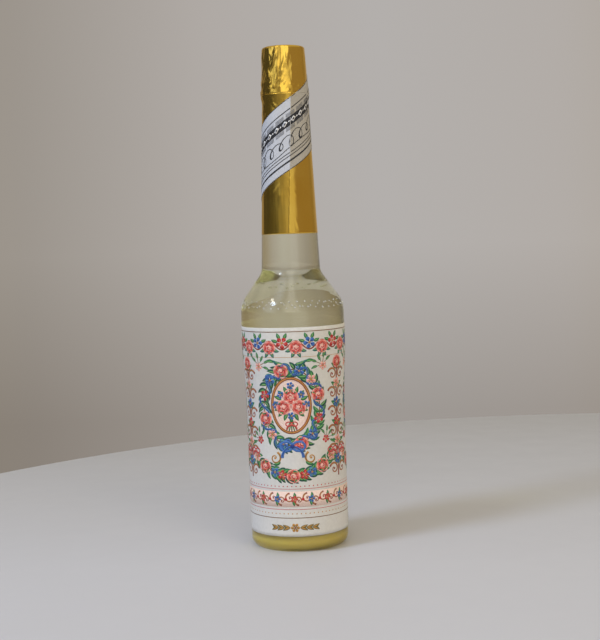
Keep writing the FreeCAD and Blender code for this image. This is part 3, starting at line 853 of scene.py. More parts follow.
def neck_lift(angle, height):
    """How far the neck foil stands off the glass: lap, flare, creases, dents, and crumples below the cap."""
    lift = fold(angle, height) + flare(height)
    lift += creases(angle, height, 11, 70, FOIL_FOOT, FOIL_TOP, (0.01, 0.05), (1.5, 5), (8, 30))
    lift += creases(angle, height, 12, 60, FOIL_FOOT, FOIL_TOP, (0.01, 0.04), (4, 12), (3, 8))
    crumple = creases(
        angle, height, 13, 90, FOIL_TOP - CRUMPLE_DROP, FOIL_TOP, (0.05, 0.2), (2.5, 7), (1, 3.5), 0.06)
    dents = creases(angle, height, 14, 90, FOIL_FOOT + 3, FOIL_TOP - 12, (0.06, 0.28), (3, 9), (2.5, 8), 0.07)
    dents *= tent(aside(angle, DENTED_SIDE), DENTED_REACH)
    return lift + (crumple + dents) * (1 - pressed(angle, height))


around = np.arange(FOIL_COLUMNS) * math.tau / FOIL_COLUMNS
angle, height = np.meshgrid(around, np.linspace(FOIL_FOOT, FOIL_TOP, NECK_ROWS))
outer = (neck_radius(height) + FOIL_THICKNESS + neck_lift(angle, height), angle, height)
inner = (neck_radius(height) - SUNK, angle, height)
neck_foil = skin("neck_foil_skin", outer, inner, gold_foil, True)
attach(neck_foil, "bottle")
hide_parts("neck_foil")
print("Neck foil faces:", len(neck_foil.data.polygons))

# %% Cap foil
CAP_ROWS = 120
CAP_LEDGE_ROUND, CAP_TOP_ROUND = 3.0, 1.3
SMOOTH_SIDE, SMOOTH_REACH = FRONT + math.radians(55), math.radians(45)
FLAT_TOP, TOP_RIM = 6.0, 10.0


def evenly(points, count):
    """The outline again, as a number of points evenly spaced along it: radii and heights."""
    runs = [0.0]
    for here, there in zip(points, points[1:]):
        runs.append(runs[-1] + (there - here).length)
    places = np.linspace(0, runs[-1], count)
    return (np.interp(places, runs, [p.x for p in points]), np.interp(places, runs, [p.y for p in points]))


def cap_outline(out):
    """The cap's outside from its foot to the middle of its top, moved out by a distance."""
    return rounded([
        (CAP_FOOT_RADIUS + out, CAP_FOOT), (CAP_LEDGE_RADIUS + out, CAP_LEDGE, CAP_LEDGE_ROUND),
        (CAP_TOP_RADIUS + out, CAP_TOP + out, CAP_TOP_ROUND), (0, CAP_TOP + out)])


def cap_lift(angle, height):
    """How far the cap foil stands off: fine streaks, dents, and crumples at the ledge."""
    streaks = creases(angle, height, 21, 110, CAP_LEDGE, CAP_TOP, (0.02, 0.07), (1.5, 5), (4, 14), 0.015)
    crumple = creases(
        angle, height, 22, 130, CAP_FOOT, CAP_LEDGE + 1.5, (0.05, 0.22), (2, 6), (0.8, 2.6), 0.05)
    dents = creases(angle, height, 23, 110, CAP_LEDGE, CAP_TOP - 2, (0.06, 0.30), (3.5, 9), (3.0, 9.0), 0.05)
    smooth = np.clip(2.0 * tent(aside(angle, SMOOTH_SIDE), SMOOTH_REACH), 0.0, 0.85)
    return streaks + (crumple + dents * (1 - smooth)) * (1 - 0.8 * pressed(angle, height))


radii, heights = evenly(cap_outline(FOIL_THICKNESS), CAP_ROWS)
angle, height = np.meshgrid(around, heights)
radius = np.repeat(radii[:, None], FOIL_COLUMNS, 1)
on_side = np.clip((radius - FLAT_TOP) / (TOP_RIM - FLAT_TOP), 0.0, 1.0)
outer = (radius + cap_lift(angle, height) * on_side, angle, height)
radii, heights = evenly(cap_outline(-SUNK), CAP_ROWS)
inner = (np.repeat(radii[:, None], FOIL_COLUMNS, 1), angle, np.repeat(heights[:, None], FOIL_COLUMNS, 1))
cap_foil = skin("cap_foil_skin", outer, inner, cap_gold, True)
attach(cap_foil, "cap")
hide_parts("cap_foil")
print("Cap foil faces:", len(cap_foil.data.polygons))

# %% [markdown]
# ## The seal strip
#
# A strip of paper is wound over foil and cap on a slant, like a helix with a long lead. Its height
# grows evenly with the angle, so the same rule gives the paper and, later, the print on it. The
# strip ends at the cap's lower edge, where it tears, and goes on as a tab that turns with the cap.

# %% Strip paper
STRIP_THICKNESS = 0.14
BEND_GIRTH, BEND_LIFT = 13.0, 0.8
BEND_LOW, BEND_HIGH = 199, 239
BEND_LOW_X, BEND_HIGH_X = 1.2, 2.9
STRIP_COLUMNS, STRIP_ROWS = 300, 56

strip_paper, tree, shader = finish("strip_paper", {"Specular IOR Level": 0.4})
# Painted light and shade: the paper is bluish white before the bend, where the window lights it, and a darker
# warm grey past the bend, where its facet faces away.
where = apart(tree, own_place(tree))
bend_line = between(tree, where["Z"], BEND_LOW * MM, BEND_HIGH * MM, BEND_LOW_X * MM, BEND_HIGH_X * MM)
beyond = maths(tree, "SUBTRACT", where["X"], bend_line)
painted_shade = between(tree, beyond, -0.1 * MM, 0.3 * MM, 0.0, 0.8)
painted_shade_and_fibres = maths(tree, "ADD", painted_shade, maths(tree, "MULTIPLY", grain(tree, 500.0), 0.2))
paper_and_painted_shade = ramp(tree, painted_shade_and_fibres, (0.0, paint(206, 209, 216)), (1.0, paint(184, 179, 168)))
tree.links.new(paper_and_painted_shade, shader.inputs["Base Color"])
polish(tree, shader, grain(tree, 90.0), 0.45, 0.6)
emboss(tree, shader, grain(tree, 900.0), 0.02, 0.4)


def bend(angle, height):
    """A sharp bend in the paper: two flat facets that meet on the foil's lap."""
    facet = math.acos(BEND_GIRTH / (BEND_GIRTH + BEND_LIFT))
    offset = np.minimum(np.abs(from_fold(angle, height)), facet)
    return BEND_GIRTH / np.cos(facet - offset) - BEND_GIRTH


def cap_radius(height):
    """The cap narrows quickly above its foot, and slowly from the ledge to the top."""
    return np.interp(
        height, (CAP_FOOT, CAP_LEDGE, CAP_TOP), (CAP_FOOT_RADIUS, CAP_LEDGE_RADIUS, CAP_TOP_RADIUS))


def strip_piece(name, first, last, low, high, base, bed):
    """A length of strip between two angles from the front, kept between two heights, on its bed of foil."""
    share = np.linspace(0, 1, STRIP_ROWS)[:, None]
    angle = FRONT + np.linspace(first, last, STRIP_COLUMNS)[None, :] + 0 * share
    middle = STRIP_MIDDLE + strip_rise(angle)
    foot = np.clip(middle - STRIP_HEIGHT / 2, low, high)
    top = np.clip(middle + STRIP_HEIGHT / 2, low, high)
    height = foot + (top - foot) * share
    lift = bed(angle, height) + bend(angle, height)
    lift += creases(
        angle, height, 31, 40, STRIP_MIDDLE - 30, STRIP_MIDDLE + 40, (0.01, 0.05), (3, 9), (4, 12))
    outer = (base(height) + FOIL_THICKNESS + STRIP_THICKNESS + lift, angle, height)
    inner = (base(height) + 0.3 * FOIL_THICKNESS, angle, height)
    return skin(name, outer, inner, strip_paper, False)


tear_angle = math.tau * (CAP_FOOT - STRIP_MIDDLE - STRIP_HEIGHT / 2) / STRIP_LEAD
tab_start = tear_angle + math.radians(0.5)
strip = strip_piece("seal_strip_paper", -STRIP_SPAN, STRIP_SPAN, 0.0, FOIL_TOP, neck_radius, neck_lift)
tab = strip_piece("seal_strip_tab_paper", tab_start, STRIP_SPAN, CAP_FOOT, 1000.0, cap_radius, cap_lift)
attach(strip, "bottle")
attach(tab, "cap")
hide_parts("seal_strip")
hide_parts("seal_strip_tab")
print("Strip tears", round(math.degrees(tear_angle)), "degrees right of the front")

# %% [markdown]
# ## The label paper
#
# One sheet of white paper goes once round the body and laps over itself at the back. Its inner face
# is sunk a little into the glass, as glue would hold it, so that from inside it shows as paper and
# not as a mirror. At the back its top edge sags by a few millimetres. Thin paper lets some light
# through, which the Subsurface inputs of the shader stand for.

# %% Label
LABEL_FOOT, LABEL_TOP = 9.1, 118.5
LABEL_THICKNESS = 0.12
LAP_LINE = math.pi / 2
LAP_HALF = math.radians(7)
LAP_RAMP = math.radians(3)
LABEL_DIP = 3.2
LABEL_COLUMNS, LABEL_ROWS = 360, 64

label_paper, tree, shader = finish("label_paper", {
    "Specular IOR Level": 0.45, "Subsurface Weight": 1.0, "Subsurface Scale": 0.00024,
    "Subsurface Radius": (1.0, 1.0, 1.0)})
mottle(tree, shader, grain(tree, 700.0), paint(221, 219, 215), paint(228, 226, 222))
polish(tree, shader, grain(tree, 60.0), 0.38, 0.5)
emboss(tree, shader, grain(tree, 1400.0), 0.015, 0.4)
label_side = rounded([
    (BASE_RADIUS, LABEL_FOOT), (BASE_RADIUS, WAIST_FOOT, WAIST_ROUND),
    (BELLY_RADIUS, WAIST_TOP, WAIST_ROUND), (BELLY_RADIUS, LABEL_TOP)])
radii, heights = evenly(label_side, LABEL_ROWS)
around = np.arange(LABEL_COLUMNS) * math.tau / LABEL_COLUMNS
angle, height = np.meshgrid(around, heights)
offset = aside(angle, LAP_LINE)
dip = LABEL_DIP * np.clip(np.cos(offset), 0.0, 1.0) ** 2
height = height - dip * (height - LABEL_FOOT) / (LABEL_TOP - LABEL_FOOT)
radius = np.interp(height, heights, radii)
lap = np.where(np.abs(offset) <= LAP_HALF, 1.0, 0.0)
lap += 0.5 * tent(offset + LAP_HALF, LAP_RAMP) * (offset < -LAP_HALF)
outer = (radius + LABEL_THICKNESS * (1 + lap), angle, height)
inner = (radius - SUNK, angle, height)
label = skin("body_label_paper", outer, inner, label_paper, True)
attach(label, "bottle")
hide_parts("body_label")
print("Label is", LABEL_TOP - LABEL_FOOT, "mm tall")

# %% [markdown]
# ## Drawing flat, before rolling
#
# The print is drawn flat first, in millimetres, as an artist would on a sheet: x runs round the
# bottle and y runs up. Everything is built from brush strokes whose width swells and tapers, and
# from small discs. Each ink is kept apart, because each becomes one piece with one finish, and
# later inks lie on earlier ones as in a real press.

# %% Strokes and discs
class Drawing:
    """Flat artwork: for each ink the points, with the layer as third number, and the faces."""

    def __init__(self):
        self.inks = {}

    def add(self, ink, layer, points, faces):
        kept, joined = self.inks.setdefault(ink, ([], []))
        start = len(kept)
        kept += [(x, y, layer) for x, y in points]
        joined += [[start + corner for corner in face] for face in faces]

    def stroke(self, ink, layer, path, width):
        """A brush stroke along a path; the width is a number or a function of 0 to 1."""
        path = np.asarray(path, float)
        count = len(path)
        along = np.linspace(0, 1, count)
        wide = width(along) if callable(width) else np.full(count, width)
        ahead = np.gradient(path, axis=0)
        side = np.stack([-ahead[:, 1], ahead[:, 0]], 1)
        side /= np.linalg.norm(side, axis=1)[:, None]
        half = np.maximum(wide, 0.05)[:, None] / 2
        points = np.concatenate([path - side * half, path + side * half])
        faces = [(k, k + 1, count + k + 1, count + k) for k in range(count - 1)]
        self.add(ink, layer, points.tolist(), faces)

    def disc(self, ink, layer, place, radius, sides=10):
        angles = np.arange(sides) * math.tau / sides
        rim = np.stack([place[0] + radius * np.cos(angles), place[1] + radius * np.sin(angles)], 1).tolist()
        faces = [(sides, k, (k + 1) % sides) for k in range(sides)]
        self.add(ink, layer, rim + [tuple(place)], faces)


def polar(place, heading, distance):
    return (place[0] + distance * math.cos(heading), place[1] + distance * math.sin(heading))


def swell(width, lean=1.0):
    """A width that starts and ends at nothing; a lean above 1 puts the belly nearer the tip."""
    return lambda along: width * np.sin(math.pi * along ** lean) ** 0.8


def bowed(start, heading, length, bend, count=8):
    """A path that leaves in one heading and curves by the bend."""
    points = [start]
    for step in range(count - 1):
        turned_by = heading + bend * (step / (count - 2) - 0.5)
        points.append(polar(points[-1], turned_by, length / (count - 1)))
    return points


print("Drawing tools ready")


# %% Leaves, flowers and roses
def leaf(art, place, heading, length, width, layer=2, bend=0.5, inks=("leaf_green", "spring_green")):
    art.stroke(inks[0], layer, bowed(place, heading, length, bend), swell(width, 0.8))
    rib = bowed(polar(place, heading + bend * 0.2, length * 0.12), heading, length * 0.7, bend, 6)
    art.stroke(inks[1], layer + 1, rib, swell(width * 0.34, 0.8))


def flower(art, place, size, petals, inks, layer=4, spin=0.0):
    """Open petals round an eye; the inks are petal, heart and eye."""
    for number in range(petals):
        heading = spin + math.tau * number / petals
        petal = [polar(place, heading, size * share) for share in np.linspace(0.12, 1.0, 6)]
        art.stroke(inks[0], layer, petal, swell(size * 2.6 / petals + size * 0.2, 1.5))
        vein = [polar(place, heading, size * share) for share in np.linspace(0.15, 0.65, 4)]
        art.stroke(inks[1], layer + 1, vein, swell(size * 0.22))
    art.disc(inks[2], layer + 2, place, size * 0.2, 8)


def rose(art, place, size, inks=("coral", "blush", "crimson"), layer=4, spin=0.0):
    """Broad petals in two rows, with dark curls between them and a dark heart."""
    for number in range(6):
        heading = spin + math.tau * number / 6
        petal = [polar(place, heading, size * share) for share in np.linspace(0.2, 1.0, 6)]
        art.stroke(inks[0], layer, petal, swell(size * 0.95, 1.6))
        edge = [polar(place, heading + turn, size * 0.86) for turn in np.linspace(-0.42, 0.42, 6)]
        art.stroke(inks[1], layer + 1, edge, swell(size * 0.16))
    for number in range(5):
        start = spin + 0.4 + math.tau * number / 5
        curl = [polar(place, start + turn, size * (0.60 - 0.10 * turn)) for turn in np.linspace(0, 1.1, 6)]
        art.stroke(inks[2], layer + 2, curl, swell(size * 0.17))
    art.disc(inks[1], layer + 2, place, size * 0.34, 10)
    heart = [polar(place, spin + turn, size * (0.08 + 0.055 * turn)) for turn in np.linspace(0, 4.6, 12)]
    art.stroke(inks[2], layer + 3, heart, swell(size * 0.14))


BLUEBELL = ("cornflower", "ink_blue", "ochre")
PINK = ("blush", "coral", "ochre")
RED = ("crimson", "coral", "ochre")
print("Flowers ready")


# %% Scrolls, bows and sprays
def scroll(art, place, size, heading, hand, layer=2, inks=("umber", "ochre")):
    """A curl that winds inwards and thins, with a lighter line on its back and a bead inside."""
    curl = []
    for share in np.linspace(0, 1, 22):
        curl.append(polar(place, heading + hand * share * 7.2, size * (1.0 - 0.78 * share)))
    art.stroke(inks[0], layer, curl, lambda along: size * (0.34 - 0.22 * along))
    art.stroke(inks[1], layer + 1, curl[1:16], lambda along: size * (0.13 - 0.08 * along))
    art.disc(inks[0], layer + 1, place, size * 0.18, 8)


def bow(art, place, size, inks=("cornflower", "ink_blue"), layer=6):
    """Two loops, two tails and a knot."""
    for hand in (-1, 1):
        loop = []
        for share in np.linspace(0, 1, 12):
            turn = math.pi * (share * 2 - 1)
            out = hand * size * 0.55 * (1 + math.cos(turn))
            loop.append((place[0] + out, place[1] + size * 0.42 * math.sin(turn)))
        art.stroke(inks[0], layer, loop, size * 0.2)
        tail = bowed(place, -math.pi / 2 + hand * 0.75, size * 1.5, hand * -1.3, 9)
        art.stroke(inks[0], layer, tail, lambda along: size * (0.14 + 0.14 * along))
        art.stroke(inks[1], layer + 1, tail[1:8], size * 0.06)
    art.disc(inks[1], layer + 1, place, size * 0.2, 8)


def spray(art, place, heading, size, bloom):
    """Five leaves on a fan of stems, with one flower in front."""
    for number, lean in enumerate((-1.1, -0.55, 0.0, 0.55, 1.1)):
        tip = polar(place, heading + lean, size * (0.6 if number % 2 else 0.45))
        art.stroke("umber", 1, [place, polar(place, heading + lean * 0.8, size * 0.3), tip], size * 0.05)
        leaf(art, tip, heading + lean * 1.3, size * 0.55, size * 0.2, 2, lean * 0.6)
    flower(art, place, size * 0.34, 5, bloom, 4, heading)


def garland(art, path, size, blooms, seed):
    """Leaves to both sides of a path with flowers set along it."""
    draw = random.Random(seed)
    path = np.asarray(path, float)
    art.stroke("umber", 1, path, size * 0.12)
    for number in range(1, len(path) - 1):
        ahead = path[number + 1] - path[number - 1]
        heading = math.atan2(ahead[1], ahead[0])
        for hand in (-1, 1):
            lean = hand * draw.uniform(0.6, 1.0)
            inks = (draw.choice(("leaf_green", "deep_green")), "spring_green")
            length = size * draw.uniform(0.9, 1.2)
            leaf(art, tuple(path[number]), heading + lean, length, size * 0.42, 2, -lean, inks)
    step = (len(path) - 1) / len(blooms)
    for number, bloom in enumerate(blooms):
        place = tuple(path[round(step * (number + 0.5))])
        if bloom == "rose":
            rose(art, place, size * 0.78, spin=draw.uniform(0, 6))
        else:
            flower(art, place, size * 0.55, 5, bloom, 4, draw.uniform(0, 6))


print("Ornaments ready")

# %% [markdown]
# ## The label's picture
#
# One bay of the picture is drawn and repeated three times round the body: a wreath with a posy in it,
# slim columns of scrolls between the wreaths, a garland hanging below, and a frieze of flowers and a
# band of scrolls between two rules. These are old stock ornaments of label printers.

# %% Rules, friezes and bands
GIRTH_RADIUS = BASE_RADIUS + LABEL_THICKNESS
BAYS = 3
BAY = math.tau * GIRTH_RADIUS / BAYS
RULE_TOP, RULE_FOOT = 116.4, 18.9
picture = Drawing()
full_width = np.linspace(-BAY / 2, BAY / 2, 64)


def across_bay(height):
    return np.stack([full_width, np.full(len(full_width), height)], 1)


for height, width, ink in ((RULE_TOP, 0.4, "umber"), (RULE_FOOT, 0.4, "umber"), (34.2, 0.25, "crimson"),
                           (23.4, 0.25, "crimson"), (103.2, 0.2, "ochre")):
    picture.stroke(ink, 1, across_bay(height), width)
BAND = 28.8
picture.stroke("shell_pink", 0, across_bay(BAND), 8.2)

WAVES = 4
FRIEZE = 109.4
wave = BAY / WAVES
vine = [(x, FRIEZE + 2.2 * math.sin(math.tau * x / wave)) for x in np.linspace(-BAY / 2, BAY / 2, 97)]
picture.stroke("chestnut", 1, vine, 0.7)
for number in range(WAVES):
    start = -BAY / 2 + number * wave
    for half, hand in ((0.25, 1), (0.75, -1)):
        place = (start + half * wave, FRIEZE - hand * 1.2)
        if hand > 0:
            rose(picture, place, 3.7, spin=number)
        else:
            flower(picture, place, 3.2, 5, (BLUEBELL, RED)[number % 2], 4, number)
        for lean in (0.35, 1.15, 2.0, 2.8):
            inks = (("teal", "spring_green") if hand > 0 else ("leaf_green", "spring_green"))
            tip = polar(place, -hand * lean, 2.3)
            leaf(picture, tip, -hand * lean, 3.5, 1.8, 2, 0.6 * math.cos(lean), inks)

CURLS = 6
curl = BAY / CURLS
for number in range(CURLS):
    middle = -BAY / 2 + (number + 0.5) * curl
    for hand in (-1, 1):
        place = (middle + hand * curl * 0.24, BAND + hand * 0.6)
        scroll(picture, place, 2.6, math.pi / 2 * hand, hand, 2, ("chestnut", "ochre"))
        leaf(picture, (middle + hand * curl * 0.5, BAND), math.pi / 2 * hand, 3.7, 1.7, 3)
    picture.disc("crimson", 4, (middle, BAND), 0.8)
    flower(picture, (middle + curl / 2, BAND), 2.0, 5, (RED, BLUEBELL)[number % 2], 5)
print("Rules and bands drawn")


# %% Wreath with a ribbon, and the medallion in it
def oval(place, half, count=73):
    """Points round an oval, from its foot and back to it."""
    turns = [math.tau * step / (count - 1) - math.pi / 2 for step in range(count)]
    return [(place[0] + half[0] * math.cos(turn), place[1] + half[1] * math.sin(turn)) for turn in turns]


WREATH = (0.0, 77.0)
WREATH_HALF = (15.4, 20.0)
RIBBON_STEPS, RIBBON_WAVES = 180, 10
garland(picture, oval(WREATH, WREATH_HALF, 41), 5.2, ["rose", BLUEBELL, RED, "rose", PINK, BLUEBELL] * 2, 5)
ribbon = []
for number, (x, y) in enumerate(oval(WREATH, (1.0, 1.0), RIBBON_STEPS + 1)):
    sway = 2.8 * math.sin(math.tau * RIBBON_WAVES * number / RIBBON_STEPS)
    ribbon.append((x * (WREATH_HALF[0] + sway), WREATH[1] + (y - WREATH[1]) * (WREATH_HALF[1] + sway)))
picture.stroke("cornflower", 3.3, ribbon, 1.2)
picture.stroke("ink_blue", 3.6, ribbon, 0.35)
bow(picture, (0.0, 56.6), 6.0, layer=8)

MEDALLION, MEDALLION_HALF = (0.0, 78.0), (10.2, 14.2)
rim = oval(MEDALLION, MEDALLION_HALF)
for share in np.linspace(0.05, 0.95, 10):
    ring = oval(MEDALLION, (MEDALLION_HALF[0] * share, MEDALLION_HALF[1] * share))
    picture.stroke("shell_pink", 0, ring, 0.12 * MEDALLION_HALF[1])
picture.stroke("chestnut", 1, rim, 1.5)
picture.stroke("ochre", 2, rim, 0.5)
for number in range(16):
    heading = math.tau * number / 16
    leaf(picture, polar((0, 79.0), heading, 5.4), heading, 4.4, 2.0, 3, 0.4)
for lean in (-0.30, -0.15, 0.0, 0.15, 0.30):
    stem = bowed((0.0, 74.0), -math.pi / 2 + lean, 9.5, lean * 1.5)
    picture.stroke("leaf_green", 3, stem, 0.6)
for place, size in (((0.0, 82.6), 4.3), ((-4.1, 77.0), 4.1), ((4.1, 77.0), 4.1)):
    rose(picture, place, size, spin=place[0], layer=5)
for place in ((-5.4, 83.6), (5.4, 83.6), (0.0, 72.6), (0.0, 88.4), (-8.2, 78.4), (8.2, 78.4)):
    flower(picture, place, 2.1, 5, BLUEBELL, 5, place[0])
bow(picture, (0.0, 68.3), 2.8, ("crimson", "coral"))
print("Wreath drawn")

# %% Columns, hanging garlands and corner sprays
COLUMN = BAY / 2
picture.stroke("chestnut", 1, [(COLUMN, z) for z in np.linspace(39, 98, 40)], 1.0)
for level in (43, 53, 63, 73, 83, 93):
    for hand in (-1, 1):
        place = (COLUMN + hand * 3.5, level)
        scroll(picture, place, 3.4, math.pi / 2 - hand * 1.2, hand, 2, ("chestnut", "ochre"))
        leaf(picture, (COLUMN, level + 2.2), math.pi / 2 - hand * 0.9, 5.8, 2.4, 2, -hand * 0.6)
    flower(picture, (COLUMN, level + 5), 2.9, 5, (RED, BLUEBELL, PINK)[level // 10 % 3], 4)
rose(picture, (COLUMN, 99.4), 3.6)

hang = [(x, 41.0 + 11.0 * (x / 24.0) ** 2) for x in np.linspace(-24.0, 24.0, 25)]
garland(picture, hang, 5.0, [PINK, "rose", BLUEBELL, RED, "rose", RED, BLUEBELL, "rose", PINK], 8)
for hand in (-1, 1):
    bow(picture, (hand * 23.2, 53.5), 3.2, ("crimson", "coral"), 8)
    spray(picture, (hand * 17.6, 98.0), math.pi / 2 + hand * 0.5, 7.0, PINK)
    spray(picture, (hand * 18.6, 59.5), -math.pi / 2 + hand * 2.4, 6.4, RED)
    inks = ("teal", "spring_green")
    leaf(picture, (hand * 2.4, 99.4), math.pi / 2 - hand * 1.2, 7.0, 2.4, 2, hand * 0.9, inks)
    leaf(picture, (hand * 8.0, 100.6), math.pi / 2 - hand * 1.5, 5.0, 1.8, 2, -hand * 0.9)

for hand in (-1, 1):
    scroll(picture, (hand * 9.6, 50.4), 3.4, math.pi / 2 + hand * 0.4, hand, 2, ("ochre", "umber"))
    leaf(picture, (hand * 6.6, 48.6), math.pi / 2 - hand * 1.9, 5.0, 1.8, 2, hand * 0.8)
DOTS = 24
for number in range(DOTS):
    x = -BAY / 2 + BAY * (number + 0.5) / DOTS
    picture.disc("crimson", 1, (x, 35.6), 0.34, 8)
    picture.disc("ochre", 1, (x, 21.2), 0.34, 8)

SPRIG = 13.8
for number in range(3):
    for hand in (-1, 1):
        for side in (-1, 1):
            start = (hand * (2.6 + 3.2 * number), SPRIG)
            heading = side * (math.pi / 2 - hand * 1.2)
            leaf(picture, start, heading, 4.4, 1.7, 2, side * hand * 0.5, ("olive", "ochre"))
flower(picture, (0.0, SPRIG), 2.5, 6, ("ochre", "olive", "chestnut"), 4)
print("Picture has", {ink: len(parts[1]) for ink, parts in picture.inks.items()}, "faces")

# %% [markdown]
# ## Rolling the print on, with Geometry Nodes
#
# The flat drawing has to lie on paper that is round, waisted or wound on a slant. A Shrinkwrap
# modifier could press it on. Here a node tree lays the bays in a row, turns x into an angle and y
# into a height, and sends a ray from outside to the paper at that place. Where the ray finds no
# paper, the print is trimmed away. A thin extrusion closes each ink into a real layer.

# %% The tree that rolls a drawing onto paper
INK_WELD = 0.0001


def roll_tree():
    """Lays a drawing out in a row, rolls it onto paper and gives the ink a depth."""
    tree, given = new_tree("roll_print", [
        ("Drawing", "Geometry"), ("Paper", "Object"), ("Material", "Material"), ("Repeats", "Int"),
        ("Repeat Width", "Float"), ("Girth Radius", "Float"), ("Front Angle", "Float"),
        ("Rise Per Turn", "Float"), ("Base Height", "Float"), ("Lift", "Float"), ("Ink Depth", "Float")])
    step = wire(tree, "ShaderNodeCombineXYZ", {"X": given["Repeat Width"]})
    row = wire(tree, "GeometryNodeMeshLine", {"Count": given["Repeats"], "Offset": step})
    laid = wire(tree, "GeometryNodeInstanceOnPoints", {"Points": row, "Instance": given["Drawing"]})
    laid = wire(tree, "GeometryNodeRealizeInstances", {"Geometry": laid})
    flat = apart(tree, wire(tree, "GeometryNodeInputPosition"))
    turn = maths(tree, "DIVIDE", flat["X"], given["Girth Radius"])
    angle = maths(tree, "ADD", turn, given["Front Angle"])
    rise = maths(tree, "MULTIPLY", maths(tree, "DIVIDE", turn, math.tau), given["Rise Per Turn"])
    height = maths(tree, "ADD", maths(tree, "ADD", flat["Y"], given["Base Height"]), rise)
    ray = cast_inward(tree, given["Paper"], angle, height)
    missed = wire(tree, "FunctionNodeBooleanMath", {0: ray["Is Hit"]}, operation="NOT")
    stand_off = maths(tree, "ADD", given["Lift"], flat["Z"])
    over = wire(tree, "ShaderNodeVectorMath", {0: ray["Hit Normal"], "Scale": stand_off}, operation="SCALE")
    place = wire(tree, "ShaderNodeVectorMath", {0: ray["Hit Position"], 1: over}, operation="ADD")
    trimmed = wire(tree, "GeometryNodeDeleteGeometry", {"Geometry": laid, "Selection": missed})
    rolled = wire(tree, "GeometryNodeSetPosition", {"Geometry": trimmed, "Position": place})
    thick = wire(tree, "GeometryNodeExtrudeMesh", {
        "Mesh": rolled, "Offset Scale": given["Ink Depth"], "Individual": False})
    under = wire(tree, "GeometryNodeFlipFaces", {"Mesh": rolled})
    closed = tree.nodes.new("GeometryNodeJoinGeometry")
    tree.links.new(thick, closed.inputs[0])
    tree.links.new(under, closed.inputs[0])
    whole = wire(
        tree, "GeometryNodeMergeByDistance", {"Geometry": closed.outputs[0], "Distance": INK_WELD * MM})
    end_tree(tree, whole, given["Material"])
    return tree


ROLL = roll_tree()
print("Roll tree:", len(ROLL.nodes), "nodes")

# %% [markdown]
# ## Inks
#
# Printing ink is a thin film with the paper's tooth showing through it, so each ink drifts slightly
# in depth over a fine grain, and is a little glossier than the paper.

# %% Ink finishes
def ink_finish(name, colour):
    material, tree, shader = finish(name, {"Specular IOR Level": 0.45})
    light = tuple(min(1.0, level * 1.25 + 0.012) for level in colour[:3]) + (1.0,)
    mottle(tree, shader, grain(tree, 2200.0, 2.0), colour, light)
    polish(tree, shader, grain(tree, 900.0), 0.36, 0.5)
    return material


INKS = {
    "umber": paint(122, 88, 52), "ochre": paint(188, 136, 62), "crimson": paint(186, 44, 46),
    "coral": paint(222, 112, 100), "blush": paint(238, 178, 164), "shell_pink": paint(240, 208, 196),
    "leaf_green": paint(40, 112, 70), "deep_green": paint(22, 78, 66), "spring_green": paint(112, 164, 92),
    "chestnut": paint(142, 66, 44), "teal": paint(28, 104, 104), "cornflower": paint(66, 112, 180),
    "ink_blue": paint(34, 58, 128), "olive": paint(112, 102, 58)}
ink_finishes = {name: ink_finish("ink_" + name, colour) for name, colour in INKS.items()}
print("Inks mixed:", len(ink_finishes))

# %% Print the label
LAYER = 0.009
INK_LIFT, INK_DEPTH = 0.03, 0.006
PICTURE_TURN = math.radians(-5)


def print_piece(name, parts, paper, body, values):
    """Rolls one ink of a drawing onto its paper as a piece of its own; gives nothing if all is trimmed."""
    points, faces = parts
    mesh = bpy.data.meshes.new(name)
    mesh.from_pydata([(x * MM, y * MM, layer * LAYER * MM) for x, y, layer in points], [], faces)
    thing = new_object(name, mesh)
    grow(thing, ROLL, dict({"Paper": paper, "Lift": INK_LIFT * MM, "Ink Depth": INK_DEPTH * MM}, **values))
    if not thing.data.polygons:
        bpy.data.objects.remove(thing)
        return None
    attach(thing, body)
    return thing


for ink, parts in picture.inks.items():
    printed = print_piece("label_print_" + ink, parts, label, "bottle", {
        "Material": ink_finishes[ink], "Repeats": BAYS, "Repeat Width": BAY * MM,
        "Girth Radius": GIRTH_RADIUS * MM, "Front Angle": FRONT + PICTURE_TURN})
    print(printed.name, len(printed.data.polygons), "faces")

# %% [markdown]
# ## The strip's print
#
# The strip carries a black band of lozenges between two rows of fine hatching, a looped flourish as on
# a share certificate, and some rules. It is drawn straight, and the roll tree's rise per turn winds it
# up the slant. The same drawing is rolled on the strip and on the tab, and each keeps its own share.

# %% Draw the strip
STRIP_GIRTH = 12.8
STRIP_EDGE = STRIP_HEIGHT / 2
reach = STRIP_GIRTH * STRIP_SPAN
run = np.arange(-reach, reach, 0.5)
BLACK_BAND = 12.0
LOZENGE, HATCH, LOOP = 4.4, 5.6, 5.2
strip_art = Drawing()


def along_strip(down):
    """A straight line along the strip, a distance down from its top edge."""
    return np.stack([run, np.full(len(run), STRIP_EDGE - down)], 1)


def lozenge_width(along):
    """A stroke that widens evenly to its middle and narrows again."""
    return 3.0 * (1 - np.abs(2 * along - 1))


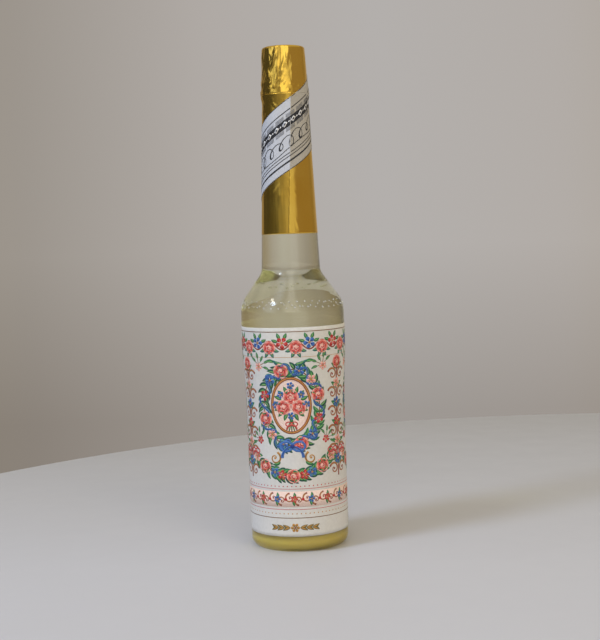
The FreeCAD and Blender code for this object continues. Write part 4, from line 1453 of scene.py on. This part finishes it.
for down, width in ((0.2, 0.4), (5.8, 0.6), (28.0, 0.45), (29.6, 0.45), (32.2, 1.0), (36.6, 0.4)):
    strip_art.stroke("press_black", 1, along_strip(down), width)
for down in np.linspace(BLACK_BAND - 2, BLACK_BAND + 2, 6):
    strip_art.stroke("press_black", 1, along_strip(down), 0.8)
middle = STRIP_EDGE - BLACK_BAND
for number in range(int(2 * reach / LOZENGE)):
    x = -reach + (number + 0.5) * LOZENGE
    white = [(x + step, middle) for step in np.linspace(-1.5, 1.5, 7)]
    strip_art.stroke("press_white", 2, white, lozenge_width)
    strip_art.disc("press_black", 3, (x, middle), 0.55, 8)
    strip_art.disc("press_white", 2, (x + LOZENGE / 2, middle), 0.45, 8)
for number in range(int(2 * reach / HATCH)):
    for line in np.arange(0.3, 4.4, 0.5):
        x = -reach + number * HATCH + line
        for low, high in ((7.4, 9.4), (14.6, 16.6)):
            strip_art.stroke("press_grey", 1, [(x, STRIP_EDGE - high), (x, STRIP_EDGE - low)], 0.26)
loops = []
for step in np.arange(-reach, reach, 0.22):
    turn = math.tau * step / LOOP
    rise = 2.9 * math.cos(turn) * (1 + 0.25 * math.sin(turn / 3))
    loops.append((step + 2.1 * math.sin(turn), STRIP_EDGE - 21.6 + rise))
strip_art.stroke("press_black", 1, loops, lambda along: 0.55 + 0.25 * np.sin(len(loops) * along * 0.27))
swash = [(x, STRIP_EDGE - 25.6 + 0.8 * math.sin(x / 4.2)) for x in run]
strip_art.stroke("press_black", 1, swash, 0.45)
print("Strip drawing:", {ink: len(parts[1]) for ink, parts in strip_art.inks.items()}, "faces")

# %% Print the strip and its tab
press_inks = {
    "press_black": ink_finish("press_black", paint(38, 40, 46)),
    "press_grey": ink_finish("press_grey", paint(96, 98, 104)),
    "press_white": ink_finish("press_white", paint(222, 222, 222))}
for ink, parts in strip_art.inks.items():
    for paper, body, where in ((strip, "bottle", "strip_"), (tab, "cap", "tab_")):
        printed = print_piece(where + ink, parts, paper, body, {
            "Material": press_inks[ink], "Repeats": 1, "Girth Radius": STRIP_GIRTH * MM, "Front Angle": FRONT,
            "Rise Per Turn": STRIP_LEAD * MM, "Base Height": STRIP_MIDDLE * MM})
        print(where + ink, len(printed.data.polygons) if printed else 0, "faces")

# %% [markdown]
# ## Plastic inside
#
# The cap, its sealing disc and the plug in the mouth keep their CAD shapes, which are right as they
# are, and get moulded finishes.

# %% Moulded plastics
cap_plastic, tree, shader = finish("cap_plastic", {})
mottle(tree, shader, grain(tree, 300.0), paint(222, 220, 212), paint(230, 228, 222))
polish(tree, shader, grain(tree, 500.0), 0.32, 0.45)
emboss(tree, shader, grain(tree, 1500.0), 0.01, 0.3)
liner_foam, tree, shader = finish("liner_foam", {})
mottle(tree, shader, grain(tree, 1500.0), paint(205, 205, 203), paint(222, 222, 220))
polish(tree, shader, grain(tree, 900.0), 0.7, 0.85)
emboss(tree, shader, grain(tree, 2500.0), 0.03, 0.6)
plug_plastic, tree, shader = finish("plug_plastic", {"Subsurface Weight": 0.2, "Subsurface Scale": 0.002})
mottle(tree, shader, grain(tree, 200.0), paint(214, 216, 214), paint(226, 227, 224))
polish(tree, shader, grain(tree, 400.0), 0.28, 0.4)
PLASTICS = {"screw_cap": cap_plastic, "cap_liner": liner_foam, "orifice_reducer": plug_plastic}
for node, material in PLASTICS.items():
    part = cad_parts[node]
    part.data.materials.clear()
    part.data.materials.append(material)
print("Plastic finishes on", len(PLASTICS), "CAD nodes")
